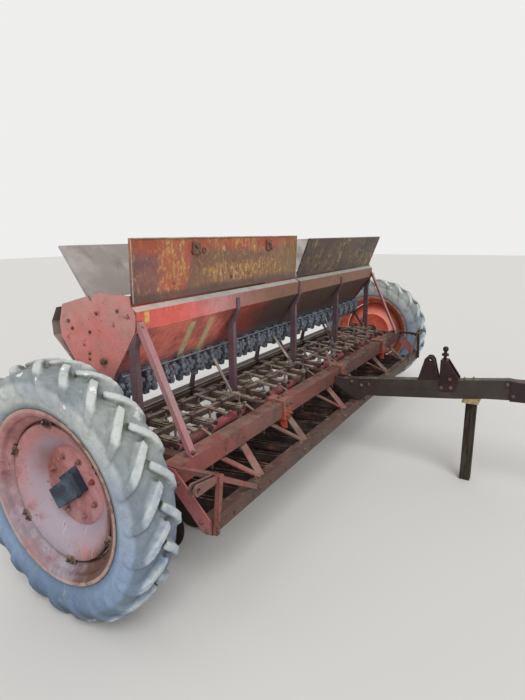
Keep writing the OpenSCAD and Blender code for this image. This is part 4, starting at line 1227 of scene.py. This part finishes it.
class DRILL_OT_stage(bpy.types.Operator):
    """Make the floor, the lights and the camera"""

    bl_idname = "drill.stage"
    bl_label = "Stage"

    def execute(self, context):
        sizes = context.scene.drill_stage
        scene = context.scene
        half = sizes.floor_size / 2
        corners = [(-half, -half, 0), (half, -half, 0), (half, half, 0), (-half, half, 0)]
        mesh = bpy.data.meshes.new("floor")
        mesh.from_pydata(corners, [], [(0, 1, 2, 3)])
        floor = bpy.data.objects.new("floor", mesh)
        scene.collection.objects.link(floor)
        f = Finish("floor")
        f.paint = tuple(sizes.floor_colour)
        mesh.materials.append(f.close(0.9))

        sun = bpy.data.lights.new("key", "SUN")
        sun.energy = sizes.key_level
        sun.angle = math.radians(SUN_WIDTH)
        lamp = bpy.data.objects.new("key", sun)
        lamp.rotation_euler = [math.radians(degrees) for degrees in SUN_TURN]
        scene.collection.objects.link(lamp)

        world = bpy.data.worlds.new("studio")
        scene.world = world
        world.use_nodes = True
        tree = world.node_tree
        sky = tree.nodes["Background"]
        sky.inputs["Color"].default_value = (1, 1, 1, 1)
        sky.inputs["Strength"].default_value = sizes.sky_level
        seen = tree.nodes.new("ShaderNodeBackground")
        seen.inputs["Color"].default_value = BACKDROP
        ray = tree.nodes.new("ShaderNodeLightPath")
        either = tree.nodes.new("ShaderNodeMath")
        either.operation = "MAXIMUM"
        tree.links.new(ray.outputs["Is Camera Ray"], either.inputs[0])
        tree.links.new(ray.outputs["Is Glossy Ray"], either.inputs[1])
        chosen = tree.nodes.new("ShaderNodeMixShader")
        tree.links.new(either.outputs[0], chosen.inputs[0])
        tree.links.new(sky.outputs[0], chosen.inputs[1])
        tree.links.new(seen.outputs[0], chosen.inputs[2])
        tree.links.new(chosen.outputs[0], tree.nodes["World Output"].inputs["Surface"])

        data = bpy.data.cameras.new("camera")
        data.lens = LENS
        data.clip_end = FAR_CLIP
        camera = bpy.data.objects.new("camera", data)
        turn = Matrix((CAMERA_RIGHT, CAMERA_UP, [-c for c in CAMERA_AHEAD])).transposed().to_4x4()
        camera.matrix_world = Matrix.Translation(CAMERA_PLACE) @ turn
        scene.collection.objects.link(camera)
        scene.camera = camera
        scene.view_settings.view_transform = "Standard"
        return {"FINISHED"}


class DRILL_PT_panel(bpy.types.Panel):
    """Lists the dressing steps"""

    bl_label = "Seed Drill"
    bl_idname = "DRILL_PT_panel"
    bl_space_type = "VIEW_3D"
    bl_region_type = "UI"
    bl_category = "Seed Drill"

    def draw(self, context):
        for step in STEPS:
            self.layout.operator("drill." + step)


STEPS = (
    "finishes",
    "tyres",
    "wheels",
    "rods",
    "forks",
    "meters",
    "box_hardware",
    "frame_hardware",
    "tongue_hardware",
    "stage",
)
CLASSES = (
    DrillStageSizes,
    DRILL_OT_finishes,
    DRILL_OT_tyres,
    DRILL_OT_wheels,
    DRILL_OT_rods,
    DRILL_OT_forks,
    DRILL_OT_meters,
    DRILL_OT_box_hardware,
    DRILL_OT_frame_hardware,
    DRILL_OT_tongue_hardware,
    DRILL_OT_stage,
    DRILL_PT_panel,
)


def register():
    """Adds the classes and the stage's sizes."""
    for cls in CLASSES:
        bpy.utils.register_class(cls)
    bpy.types.Scene.drill_stage = bpy.props.PointerProperty(type=DrillStageSizes)


def unregister():
    """Takes them away again."""
    del bpy.types.Scene.drill_stage
    for cls in reversed(CLASSES):
        bpy.utils.unregister_class(cls)


def main():
    """Makes the whole scene."""
    register()
    for step in STEPS:
        getattr(bpy.ops.drill, step)()


if __name__ == "__main__":
    main()
